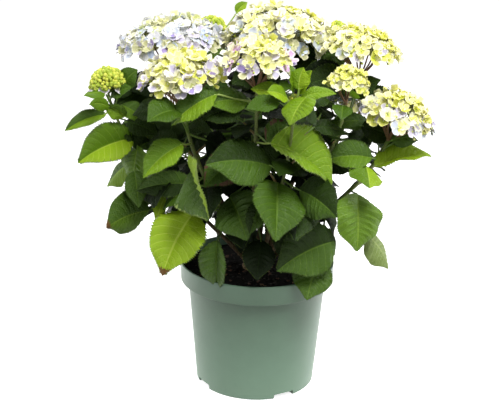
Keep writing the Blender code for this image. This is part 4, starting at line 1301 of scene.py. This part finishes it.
# one blade in its own numbers: s along it, v across it, w below it
def leafMaster(veins, perVein, columns, cuts, rib):
    cells = veins * perVein + 3
    across = len(columns) * 2
    made = primitive(bpy.ops.mesh.primitive_grid_add, x_subdivisions=cells,
                     y_subdivisions=across, size=2)
    made.scale = (cells / 2, across / 2, 1)
    made.location = (cells / 2, 0, 0)
    applyPlace()
    editStart(made)
    edge = across / 2
    pickVerts(made, lambda v: abs(v.co.x - cells) < 0.1)
    bpy.ops.mesh.merge(type="CENTER")
    if cuts:
        pickVerts(made, lambda v: abs(abs(v.co.y) - edge) < 0.1 and v.co.x < cells - 0.5, "EDGE")
        bpy.ops.mesh.subdivide(number_cuts=cuts, ngon=True)
    bpy.ops.object.mode_set(mode="OBJECT")
    grid = [v.co.copy() for v in made.data.vertices]
    faces = [tuple(p.vertices) for p in made.data.polygons]
    dropObject(made)
    slots = []
    for face in faces:
        middle = sum((grid[i] for i in face), Vector()) / len(face)
        inVein = perVein == 3 and 2 < middle.x < cells - 1 and int(middle.x - 2) % 3 == 0
        inRib = rib and abs(middle.y) < 1
        slots.append(1 if (inVein or inRib) and middle.x > 0.1 else 0)
    # the underside: from the keel under the midrib to each margin
    left = sorted((i for i, p in enumerate(grid) if p.y > edge - 0.1), key=lambda i: grid[i].x)
    right = sorted((i for i, p in enumerate(grid) if p.y < 0.1 - edge), key=lambda i: grid[i].x)
    tip = max(range(len(grid)), key=lambda i: grid[i].x)
    keel = []
    for x in range(cells):
        keel.append(len(grid))
        grid.append(Vector((x, 0, -1)))
    keel.append(tip)
    for margin, turn in ((left, 1), (right, -1)):
        margin = [i for i in margin if i != tip] + [tip]
        for x in range(cells):
            run = [i for i in margin if x - 1e-4 <= grid[i].x <= x + 1 + 1e-4]
            face = [keel[x]] + run + ([keel[x + 1]] if keel[x + 1] not in run else [])
            faces.append(tuple(face if turn == 1 else reversed(face)))
            slots.append(2)
    start = sorted((i for i, p in enumerate(grid) if abs(p.x) < 1e-4 and p.z > -0.5),
                   key=lambda i: grid[i].y)
    faces.append(tuple(start + [keel[0]]))
    slots.append(2)
    # grid numbers to s, v and w
    stops = [0.0, 0.018]
    for vein in range(veins):
        at = 0.07 + 0.90 * ((vein + 0.2) / veins) ** 0.96
        step = 0.90 / veins
        if perVein == 3:
            stops += [at - 0.003, at + 0.003, at + step * 0.5]
        else:
            stops += [at, at + step * 0.5]
    stops += [(stops[-1] + 1) / 2, 1.0]
    data = []
    for p in grid:
        i = min(int(p.x + 1e-4), cells - 1)
        f = p.x - i
        s0 = stops[i] + (stops[i + 1] - stops[i]) * f
        j = abs(p.y)
        k = min(int(j + 1e-4), len(columns) - 1)
        low = columns[k - 1] if k else 0.0
        v = low + (columns[k] - low) * (j - k)
        tooth = 0.0
        if v > 0.999 and f > 0.01:
            step = round(f * (cuts + 1))
            tooth = 1.0 if step % 2 else -0.25
        s = s0 + leafForm["veinSkew"] * v ** 1.25 * s0 * (1 - s0)
        if tooth > 0:
            s += 0.007
        ridge = 0.0
        if 2 < p.x < cells - 1.5 and abs((p.x - 2) % perVein - perVein + 1) < 0.01:
            ridge = 1.0
        ridge *= math.sin(math.pi * min(v, 1.0)) ** 0.8 if v < 1 else 0.0
        data.append((s, math.copysign(v, p.y), 1.0 if p.z < -0.5 else 0.0, tooth, ridge))
    return np.array(data), faces, slots


def bladeFrames(leaf, s):
    arch = math.radians(leafForm["arch"])
    first = math.radians(leaf.rise) + arch / 2
    pitch = first - arch * s
    size = leaf.length * (arch / 2) / math.sin(arch / 2)
    flat = (size * (math.sin(first) - np.sin(pitch)) / arch)[:, None]
    high = (size * (np.cos(pitch) - math.cos(first)) / arch)[:, None]
    base = np.array(leafBase(leaf))
    head, sky = np.array(direction(leaf.heading, 0)), np.array(up)
    forward = head * np.cos(pitch)[:, None] + sky * np.sin(pitch)[:, None]
    side = np.array(direction(leaf.heading + 90, 0))
    face = np.cross(forward, side)
    c, k = math.cos(math.radians(leaf.roll)), math.sin(math.radians(leaf.roll))
    return base + head * flat + sky * high, side * c + face * k, face * c - side * k


def leafPoints(leaf, master, rng):
    s, v, w, tooth, ridge = master.T
    s = np.clip(s, 0.0, 1.0)
    fade = np.clip((s - 0.68) / 0.30, 0, 1)
    half = leaf.length * leaf.ratio / 2 * np.sin(math.pi * s ** 0.78).clip(0, 1) ** 0.80
    half *= 1.02 - 0.34 * fade * fade * (3 - 2 * fade)
    half = np.maximum(half, leafForm["stalkRadius"] * (1 - s) * 0.9)
    point, side, face = bladeFrames(leaf, s)
    fold = math.radians(leafForm["fold"] + leaf.fold + rng.uniform(-4, 4))
    size = leaf.length / 0.08
    reach = np.abs(v)
    lateral = v * half * math.cos(fold)
    lateral += np.sign(v) * tooth * leafForm["tooth"] * size * (half > 0.002)
    droop = leafForm["droop"] * rng.uniform(0.7, 1.4)
    wave = leafForm["wave"] * rng.uniform(0.5, 1.3)
    phase = rng.uniform(0, math.tau)
    turns = rng.uniform(1.6, 2.6) * math.tau
    ripple = np.sin(s * turns + phase + (v > 0) * rng.uniform(1.5, 4.5))
    lift = half * (math.sin(fold) * reach - droop * reach ** 2 + wave * ripple * reach ** 2)
    lift = lift + half * leafForm["quilt"] * ridge * 2
    lift = lift - w * leafForm["keel"] * np.clip(1.25 - s, 0.3, 1.0) * min(1.0, size)
    curl = rng.uniform(-0.05, 0.07) * leaf.length
    lift = lift - curl * np.clip(s - 0.45, 0, 1) ** 2
    return point + side * lateral[:, None] + face * lift[:, None]


# painted shade and light: a rule-grown leaf deeper in the crown and lower down gets a darker tint,
# one further out and higher up a lighter one
def tintOf(leaf, rng):
    if leaf.tint != "rule":
        return leaf.tint
    reach = math.hypot(leaf.root.x, leaf.root.y) / 0.2
    high = (leaf.root.z - 0.25) / 0.22
    lightScore = 0.55 * reach + 0.55 * high + rng.gauss(0, 0.16)
    if leaf.kind == "inner":
        return "shade" if lightScore < 0.68 else "deep" if lightScore < 1.0 else "mid"
    for limit, tint in ((0.42, "shade"), (0.72, "deep"), (0.98, "mid"), (1.18, "fresh")):
        if lightScore < limit:
            return tint
    return "bright"


# body, vein and underside slots; the half that hangs lower may have a tint of its own: painted
# light and shade that set the two halves of a blade apart
def leafLook(leaf, data, faces, slots, tints, rng):
    names = tintOf(leaf, rng).split("/")
    worn = [name for name in names if name in faded]
    names = [name for name in names if name not in faded]
    upper, lower = tints.index(names[0]), tints.index(names[-1])
    # painted light: on a grown leaf of one tint, the lower half may be one tint lighter
    if len(names) == 1 and leaf.kind == "grown" and rng.random() < 0.35:
        lower = upper + 1
    side = bladePoint(leaf, 0.3)[2]
    lowSign = -1 if side.z > 0 else 1
    # on outer leaves the bright and paler tints take the pale underside and the others the dark
    # one, so the underside follows the painted light and shade of the top
    pale = upper >= tints.index("bright")
    under = upper if leaf.kind == "inner" else 2 * len(tints) + (1 if pale else 0)
    looks = []
    for face, slot in zip(faces, slots):
        along, middle = [sum(data[i][k] for i in face) / len(face) for k in (0, 1)]
        tint = lower if middle * lowSign > 0 else upper
        look = (tint, len(tints) + tint, under)[slot]
        if "tip" in worn and slot < 2 and along > 0.90:
            look = 2 * len(tints) + 2
        if "rim" in worn and slot < 2 and abs(middle) > 0.8 and rng.random() < 0.55:
            look = 2 * len(tints) + 3
        looks.append(look)
    return looks


def leafFinish(name, colour, roughness=0.42, gloss=0.26):
    made = Finish(name, colour, roughness)
    made.shader.inputs["Specular IOR Level"].default_value = gloss
    made.feed("Roughness", roughness - 0.07 + made.noise(150, 3, 0.6) * 0.16)
    net = made.add("ShaderNodeTexVoronoi", {"feature": "DISTANCE_TO_EDGE"},
                   {"Vector": made.place(), "Scale": 330.0})
    made.bump(made.noise(200, 4, 0.65) * 0.7 + net * 0.9, 0.0020, 0.75)
    return made


def buildLeaves(grown):
    shownLeaf = leafMaster(9, 3, (0.045, 0.40, 0.72, 1.0), 3, True)
    plainLeaf = leafMaster(8, 2, (0.06, 0.52, 1.0), 1, True)
    smallLeaf = leafMaster(5, 2, (1.0,), 1, False)
    tints = list(leafTints)
    finishes = [leafFinish("leafBody_" + tint, leafTints[tint][0], 0.42,
                           dullTints.get(tint, 0.26)) for tint in tints]
    finishes += [leafFinish("leafVein_" + tint, leafTints[tint][1], 0.5,
                            dullTints.get(tint, 0.26)) for tint in tints]
    finishes += [leafFinish(name, colour, 0.6)
                 for name, colour in undersides + tuple(faded.values())]
    rng = random.Random(seed + 1200)
    outer, inner = Heap(), Heap()
    for shoot in shoots:
        for leaf in grown[shoot.name][0]:
            if leaf.kind == "inner":
                heap, (data, faces, slots) = inner, smallLeaf
            else:
                front = (leaf.root.y < leafForm["frontDepth"]
                         and leaf.length > leafForm["finest"])
                heap, (data, faces, slots) = outer, shownLeaf if front else plainLeaf
            heap.add(leafPoints(leaf, data, rng).tolist(), faces,
                     leafLook(leaf, data, faces, slots, tints, rng))
    nodes = ["foliage_" + shoot.name for shoot in shoots]
    outer.make("outerLeaves", finishes, 55, "leaf", nodes)
    inner.make("innerLeaves", finishes, 55, "leaf", nodes)
    print("leaves made")


# ------ flower heads
# claw, body and margin colour of each kind of sepal; grey and the dark cream at the end are pale
# sepals darkened by painted shade
floretTints = {
    "cream": ((220, 225, 98), (241, 238, 162), (248, 245, 202)),
    "ivory": ((226, 231, 136), (245, 243, 202), (251, 250, 228)),
    "yellow": ((208, 219, 62), (232, 234, 106), (243, 242, 154)),
    "lilac": ((208, 202, 204), (211, 204, 229), (241, 238, 236)),
    "violet": ((144, 122, 184), (168, 149, 208), (226, 219, 235)),
    "paleBlue": ((216, 224, 212), (215, 222, 238), (239, 242, 242)),
    "blue": ((178, 191, 222), (192, 204, 232), (224, 231, 243)),
    "grey": ((210, 212, 208), (221, 221, 226), (239, 239, 235)),
    "mauve": ((188, 146, 190), (210, 174, 212), (242, 229, 234)),
    "green": ((204, 217, 116), (222, 229, 158), (238, 240, 196)),
    # painted shade: cream sepals darkened as in the shade under a head's rim
    "dusk": ((166, 172, 96), (196, 196, 146), (222, 220, 182)),
}
eyeColours = (("eyeCream", (238, 240, 190)), ("eyeLime", (200, 214, 96)))
budColours = (("budCream", (230, 234, 150)), ("budLime", (200, 214, 84)),
              ("budYellow", (214, 219, 86)), ("budGreen", (174, 193, 62)))
rayColours = (("rayReddish", (128, 92, 62)), ("pedicelGreen", (160, 160, 96)),
              ("rayGreen", (120, 140, 60)))
# by head: florets of the crown, of the middle and of the rim; the rims take the darker tints,
# where lilac, violet and blue are partly the florets' own colour and partly painted shade, and
# grey and the dark cream are painted shade
headTints = {
    "left_back": ("ivory grey ivory paleBlue green", "paleBlue ivory grey lilac grey paleBlue",
                  "blue lilac violet paleBlue dusk grey dusk"),
    "left_front": ("cream yellow cream ivory", "cream lilac yellow ivory lilac",
                   "lilac dusk violet yellow lilac dusk"),
    "front": ("yellow cream ivory cream", "cream lilac ivory cream mauve",
              "lilac violet dusk mauve lilac"),
    "centre_back": ("ivory cream ivory yellow ivory", "ivory cream lilac paleBlue cream",
                    "blue dusk dusk cream paleBlue dusk"),
    "right_back": ("cream yellow cream ivory", "cream yellow ivory cream",
                   "cream ivory yellow lilac paleBlue"),
    "right_inner": ("yellow cream", "yellow cream cream", "cream yellow ivory"),
    "right_front": ("yellow cream cream", "cream yellow ivory cream lilac",
                    "cream lilac yellow cream paleBlue"),
    "rear_right": ("cream ivory yellow", "cream lilac ivory", "lilac paleBlue cream"),
    "rear": ("ivory cream yellow", "cream lilac paleBlue ivory", "violet lilac cream blue"),
    "rear_left": ("cream yellow ivory", "cream ivory lilac", "paleBlue lilac cream"),
}
headForm = {
    "floretRadius": 0.0116, "cover": 2.0, "reach": 1.0, "jog": 0.30, "openUp": 0.30,
    "primaries": 9, "rayRadius": 0.0012, "pedicelRadius": 0.0006, "buds": 0.40,
    "budDepth": (0.80, 0.93), "sizes": (0.80, 1.12), "zones": (0.66, 0.22), "oneTint": 0.6,
    # what single heads have of their own: the radius of a floret, and a shift of the head
    "ownRadius": {"left_back": 0.0132, "centre_back": 0.0124, "right_back": 0.0104,
                  "right_front": 0.0106, "right_inner": 0.0082},
    "nudge": {"left_back": (0.006, 0, -0.003), "left_front": (0.003, 0, 0.002),
              "centre_back": (0, 0, -0.004), "right_front": (0.001, 0, -0.004),
              "right_back": (-0.005, 0, 0.001), "back": (-0.001, 0, 0.009),
              "far": (0, 0, 0.004), "left": (0.003, 0, -0.003)},
    # how much further its florets reach down, the share of the jog and of the cover that it
    # has, and what it is stretched by, across and upward
    "skirt": {"left_back": 0.14, "centre_back": 0.32},
    "calm": {"left_back": 0.45, "centre_back": 0.5, "left_front": 0.8, "right_front": 0.75},
    "thick": {"left_back": 1.35, "centre_back": 1.35},
    "stretch": {"left_front": (1.05, 0.87), "centre_back": (1.02, 1.0)},
}
# florets at the rim of the bud cluster that has some, and the colours they are drawn from
earlyFlorets = {"shoot": "left", "headings": (200, 262, 318, 18, 96, 150),
                "tints": ("ivory", "lilac", "green"), "radius": 0.0088}


# a closed flower bud: a small ball with a point
def makeBudMaster():
    made = primitive(bpy.ops.mesh.primitive_uv_sphere_add, segments=6, ring_count=4, radius=1)
    for vert in made.data.vertices:
        if vert.co.z > 0.5:
            vert.co.z *= 1.25
    shape = shapeOf(made)
    dropObject(made)
    return shape


budMaster = makeBudMaster()


def ball(heap, place, normal, radius, slot):
    points, faces, _ = budMaster
    quat = trackUp(normal)
    heap.add([place + quat @ (p * radius) for p in points], faces, slot)


# four rounded sepals round a small bud, with a radius of one
def floretMaster(cup, spread):
    made = primitive(bpy.ops.mesh.primitive_grid_add, x_subdivisions=4, y_subdivisions=4, size=2)
    rows = ((0.06, 0.10), (0.30, 0.40), (0.62, 0.57), (0.88, 0.48), (1.0, 0.27))
    for vert in made.data.vertices:
        i = round((vert.co.x + 1) * 2)
        j = round((vert.co.y + 1) * 2)
        along, half = rows[i]
        across = (-1.0, -0.62, 0.0, 0.62, 1.0)[j]
        along -= (0, 0, 0, 0.03, 0.08)[i] * across * across
        height = cup * along * along + 0.18 * across * across * along - 0.07 * (i == 4)
        vert.co = (along, across * half * spread, height)
    sepal = shapeOf(made)
    dropObject(made)
    heap = Heap()
    looks = []
    for face in sepal[1]:
        middle = sum((sepal[0][i] for i in face), Vector()) / len(face)
        edge = max(abs(sepal[0][i].y) / (0.57 * spread) for i in face)
        margin = middle.x > 0.85 or (middle.x > 0.25 and edge > 0.66)
        looks.append(0 if middle.x < 0.25 else 2 if margin else 1)
    for k in range(4):
        turn = Matrix.Rotation(math.tau * k / 4, 3, "Z")
        size = 1.0 if k % 2 else 0.92
        lifted = [turn @ (p * size) + Vector((0, 0, 0.04 * (k % 2))) for p in sepal[0]]
        heap.add(lifted, sepal[1], [look + 3 * k for look in looks])
    points, faces, _ = budMaster
    heap.add([p * 0.12 + Vector((0, 0, 0.10)) for p in points], faces, 12)
    return heap.points, heap.faces, heap.slots


def domeSpots(count, reach, rng):
    spots = []
    for k in range(count):
        level = 1 - (k + 0.5) / count * reach
        around = math.tau * k * 0.618034 + rng.uniform(-0.12, 0.12)
        flat = math.sqrt(max(0.0, 1 - level * level))
        spots.append(Vector((math.cos(around) * flat, math.sin(around) * flat, level)))
    return spots


# a head's middle and axis, the fork under it and its turn
def headPlace(shoot):
    centre, axis = headCentre(shoot), shootAxis(shoot)
    nudge = Vector(headForm["nudge"].get(shoot.name, (0, 0, 0)))
    return centre + nudge, axis, centre - axis * forkDrop(shoot), trackUp(axis)


# the slots of a floret whose four sepals have these tints
def sepalSlots(slots, sepals, eye):
    return [eye if s == 12 else 3 * sepals[s // 3] + s % 3 for s in slots]


def growHead(shoot, heaps, florets, rng):
    petals, eyes, rays = heaps
    across, upward = headForm["stretch"].get(shoot.name, (1, 1))
    radius, height = shoot.width / 2 * across, shoot.dome * upward
    centre, axis, fork, turn = headPlace(shoot)
    jog = headForm["jog"] * headForm["calm"].get(shoot.name, 1)
    size = headForm["ownRadius"].get(shoot.name, headForm["floretRadius"])
    area = radius ** 2 + height ** 2
    count = round(headForm["cover"] * headForm["thick"].get(shoot.name, 1) * area / size ** 2)
    thick, pedicel = headForm["rayRadius"], headForm["pedicelRadius"]
    primaries = []
    rays.add(*tubeShape([fork - axis * 0.004, fork + axis * 0.004], [0.0026, 0.0018], 8), 0)
    for k in range(headForm["primaries"] if shoot.width > 0.07 else 5):
        a = math.tau * (k + rng.uniform(-0.25, 0.25)) / headForm["primaries"]
        wide = radius * (rng.uniform(0.48, 0.70) if k else 0.05)
        end = centre + turn @ Vector((math.cos(a) * wide, math.sin(a) * wide,
                                      height * (rng.uniform(0.16, 0.32) if k else 0.5)))
        bow = fork.lerp(end, 0.5) - turn @ Vector((-math.cos(a), -math.sin(a), 0.3)) * 0.003
        rays.add(*tubeShape([fork - axis * 0.003, bow, end],
                            [thick * 1.15, thick, thick * 0.8], 6), 0)
        primaries.append(end)
    top, middle, rim = [group.split() for group in headTints[shoot.name]]
    tints = list(floretTints)
    reach = headForm["reach"] + headForm["skirt"].get(shoot.name, 0.0)
    for spot in domeSpots(count, reach, rng):
        depth = rng.uniform(-0.0045, 0.0015)
        wide = (radius - size * 0.52 + depth) * (1 - 0.10 * spot.z)
        rise = size * 0.70
        place = centre + turn @ Vector((spot.x * wide, spot.y * wide,
                                        rise + spot.z * (height - rise - size * 0.22) + depth))
        normal = Vector((spot.x / radius, spot.y / radius, spot.z / height)).normalized()
        lean = Vector((rng.gauss(0, jog), rng.gauss(0, jog), headForm["openUp"]))
        normal = turn @ (normal + lean).normalized()
        high, low = headForm["zones"]
        group = top if spot.z > high else middle if spot.z > low else rim
        quat = trackUp(normal)
        spin = Matrix.Rotation(rng.uniform(0, math.tau), 3, "Z")
        grown = size * rng.uniform(*headForm["sizes"])
        points, faces, slots = florets[rng.randrange(len(florets))]
        kept = tints.index(rng.choice(group))
        sepals = [kept if rng.random() < headForm["oneTint"] else tints.index(rng.choice(group))
                  for _ in range(4)]
        eye = 3 * len(tints) + rng.randrange(2)
        petals.add([place + quat @ (spin @ p) * grown for p in points], faces,
                   sepalSlots(slots, sepals, eye))
        start = min(primaries, key=lambda p: (p - place).length)
        rays.add(*tubeShape([start, start.lerp(place, 0.5) - axis * 0.001, place],
                            [pedicel * 1.3, pedicel, pedicel], 4), 1)
    for spot in domeSpots(round(count * headForm["buds"]), 1.0, rng):
        local = Vector((spot.x * radius, spot.y * radius, spot.z * height))
        place = centre + turn @ (local * rng.uniform(*headForm["budDepth"]))
        ball(eyes, place, turn @ spot, rng.uniform(0.0016, 0.0026), rng.randrange(2))
        start = min(primaries, key=lambda p: (p - place).length)
        rays.add(*tubeShape([start, place], [pedicel] * 2, 3), 1)


def growBudHead(shoot, heaps, florets, rng):
    petals, eyes, rays = heaps
    radius, height = shoot.width / 2, shoot.dome
    centre, _, fork, turn = headPlace(shoot)
    bud = 0.0030 if shoot.width > 0.03 else 0.0024
    count = round(2.6 * (radius ** 2 + height ** 2) / bud ** 2 * 0.5)
    for spot in domeSpots(count, 1.2, rng):
        high = height if spot.z > 0 else height * 0.6
        local = Vector((spot.x * (radius - bud), spot.y * (radius - bud), spot.z * (high - bud)))
        local *= rng.uniform(0.90, 1.03)
        place = centre + turn @ local
        ball(eyes, place, turn @ (spot + Vector((0, 0, 0.4))), bud * rng.uniform(0.8, 1.25),
             2 + rng.randrange(2))
        if rng.random() < 0.4:
            rays.add(*tubeShape([fork, place], [0.0008, 0.0006], 3), 2)
    if shoot.name == earlyFlorets["shoot"]:
        tints = list(floretTints)
        for heading in earlyFlorets["headings"]:
            out = direction(heading, -8)
            place = centre + out * (radius - 0.005) - up * 0.002
            quat = trackUp((out + up * 0.9).normalized())
            points, faces, slots = florets[1]
            tint = tints.index(rng.choice(earlyFlorets["tints"]))
            petals.add([place + quat @ (p * earlyFlorets["radius"]) for p in points], faces,
                       sepalSlots(slots, [tint] * 4, 3 * len(tints)))


def buildFlowers():
    florets = [floretMaster(*form) for form in ((0.12, 1.02), (0.34, 0.98), (0.58, 0.92),
                                                (0.80, 0.86), (-0.08, 1.06))]
    petals, eyes, rays = Heap(), Heap(), Heap()
    for order, shoot in enumerate(shoots):
        rng = random.Random(seed + 700 + order)
        if shoot.bloom == "mophead":
            growHead(shoot, (petals, eyes, rays), florets, rng)
        elif shoot.bloom == "bud":
            growBudHead(shoot, (petals, eyes, rays), florets, rng)
        else:
            tip, axis = shootCurve(shoot)[3], shootAxis(shoot)
            turn = trackUp(axis)
            for spot in domeSpots(26, 1.3, rng):
                place = tip + turn @ (spot * 0.0068) + axis * 0.0035
                ball(eyes, place, turn @ spot, rng.uniform(0.0014, 0.0022), 2 + rng.randrange(2))
    tints = list(floretTints)
    finishes = [petalFinish("petal" + zone + "_" + tint, colour) for tint in tints
                for zone, colour in zip(("Claw", "Body", "Margin"), floretTints[tint])]
    finishes += [petalFinish(name, colour) for name, colour in eyeColours]
    blooms = [shoot for shoot in shoots if shoot.bloom != "leafy"]
    nodes = ["bloom_" + shoot.name for shoot in blooms]
    petals.make("petals", finishes, 60, "petal", nodes)
    eyes.make("flowerBuds", [petalFinish(name, colour) for name, colour in budColours], 60,
              "flower_bud", nodes)
    rays.make("flowerRays", [stalkFinish(name, colour) for name, colour in rayColours], 60,
              "green_stem", nodes)
    print("flower heads made")


def petalFinish(name, colour):
    return grainFinish(name, colour, 0.62, 900, 0.0003, 0.3)


# ------ floor, light and camera
stageForm = {
    "floorSize": 14.0, "skyLight": 0.20, "skyShown": 1.0, "floorGlow": 0.80,
    "pitch": 17.84, "yaw": -0.45, "roll": 1.17,
    "lens": 36 * 1137.9 / 500,
    # place, what it points at, width, watts
    "lamps": (((0.5, -1.2, 2.3), (0, 0, 0.35), 1.0, 56), ((-1.6, -1.3, 1.1), (0, 0, 0.3), 1.0, 7),
              ((1.6, -1.3, 1.1), (0, 0, 0.3), 1.0, 7), ((-1.7, 0.5, 0.8), (0, 0, 0.25), 0.9, 14),
              ((1.7, 0.5, 0.8), (0, 0, 0.25), 0.9, 16), ((0.0, 1.2, 2.1), (0, 0, 0.4), 1.1, 20)),
}


def buildStage():
    ground = primitive(bpy.ops.mesh.primitive_circle_add, vertices=64,
                       radius=stageForm["floorSize"] / 2, fill_type="NGON")
    ground.name = "studioFloor"
    made = Finish("paleFloor", (246, 246, 245), 0.9)
    made.shader.inputs["Emission Color"].default_value = (1, 1, 1, 1)
    made.shader.inputs["Emission Strength"].default_value = stageForm["floorGlow"]
    ground.data.materials.append(made.material)
    ground.visible_diffuse = False      # the bounce from below comes from the sky's own light
    world = bpy.data.worlds.new("studio")
    bpy.context.scene.world = world
    world.use_nodes = True
    nodes, links = world.node_tree.nodes, world.node_tree.links
    sky = nodes["Background"]
    sky.inputs["Color"].default_value = (1, 1, 1, 1)
    sky.inputs["Strength"].default_value = stageForm["skyLight"]
    shown = nodes.new("ShaderNodeBackground")
    shown.inputs["Color"].default_value = (1, 1, 1, 1)
    shown.inputs["Strength"].default_value = stageForm["skyShown"]
    path, mixer = nodes.new("ShaderNodeLightPath"), nodes.new("ShaderNodeMixShader")
    links.new(path.outputs["Is Camera Ray"], mixer.inputs[0])
    links.new(sky.outputs[0], mixer.inputs[1])
    links.new(shown.outputs[0], mixer.inputs[2])
    links.new(mixer.outputs[0], nodes["World Output"].inputs["Surface"])
    for k, (spot, aim, width, watts) in enumerate(stageForm["lamps"]):
        lamp = bpy.data.lights.new("softbox" + str(k + 1), "AREA")
        lamp.size = width
        lamp.energy = watts
        holder = bpy.data.objects.new(lamp.name, lamp)
        holder.location = spot
        holder.rotation_euler = (Vector(aim) - Vector(spot)).to_track_quat("-Z", "Y").to_euler()
        bpy.context.scene.collection.objects.link(holder)
    pitch, yaw, roll = [math.radians(stageForm[key]) for key in ("pitch", "yaw", "roll")]
    forward = Vector((math.sin(yaw) * math.cos(pitch), math.cos(yaw) * math.cos(pitch),
                      -math.sin(pitch)))
    right = forward.cross(up).normalized()
    over = right.cross(forward)
    sideways = right * math.cos(roll) + over * math.sin(roll)
    over = over * math.cos(roll) - right * math.sin(roll)
    cameraData = bpy.data.cameras.new("camera")
    cameraData.lens = stageForm["lens"]
    cameraData.sensor_width = 36
    camera = bpy.data.objects.new("camera", cameraData)
    matrix = Matrix((sideways, over, -forward)).transposed().to_4x4()
    matrix.translation = viewPoint
    camera.matrix_world = matrix
    bpy.context.scene.collection.objects.link(camera)
    bpy.context.scene.camera = camera
    bpy.context.scene.view_settings.view_transform = "Standard"
    print("stage set")


buildPot()
buildSoil()
buildCrown()
foliage = growFoliage()
buildStems(foliage)
buildLeaves(foliage)
buildFlowers()
buildStage()
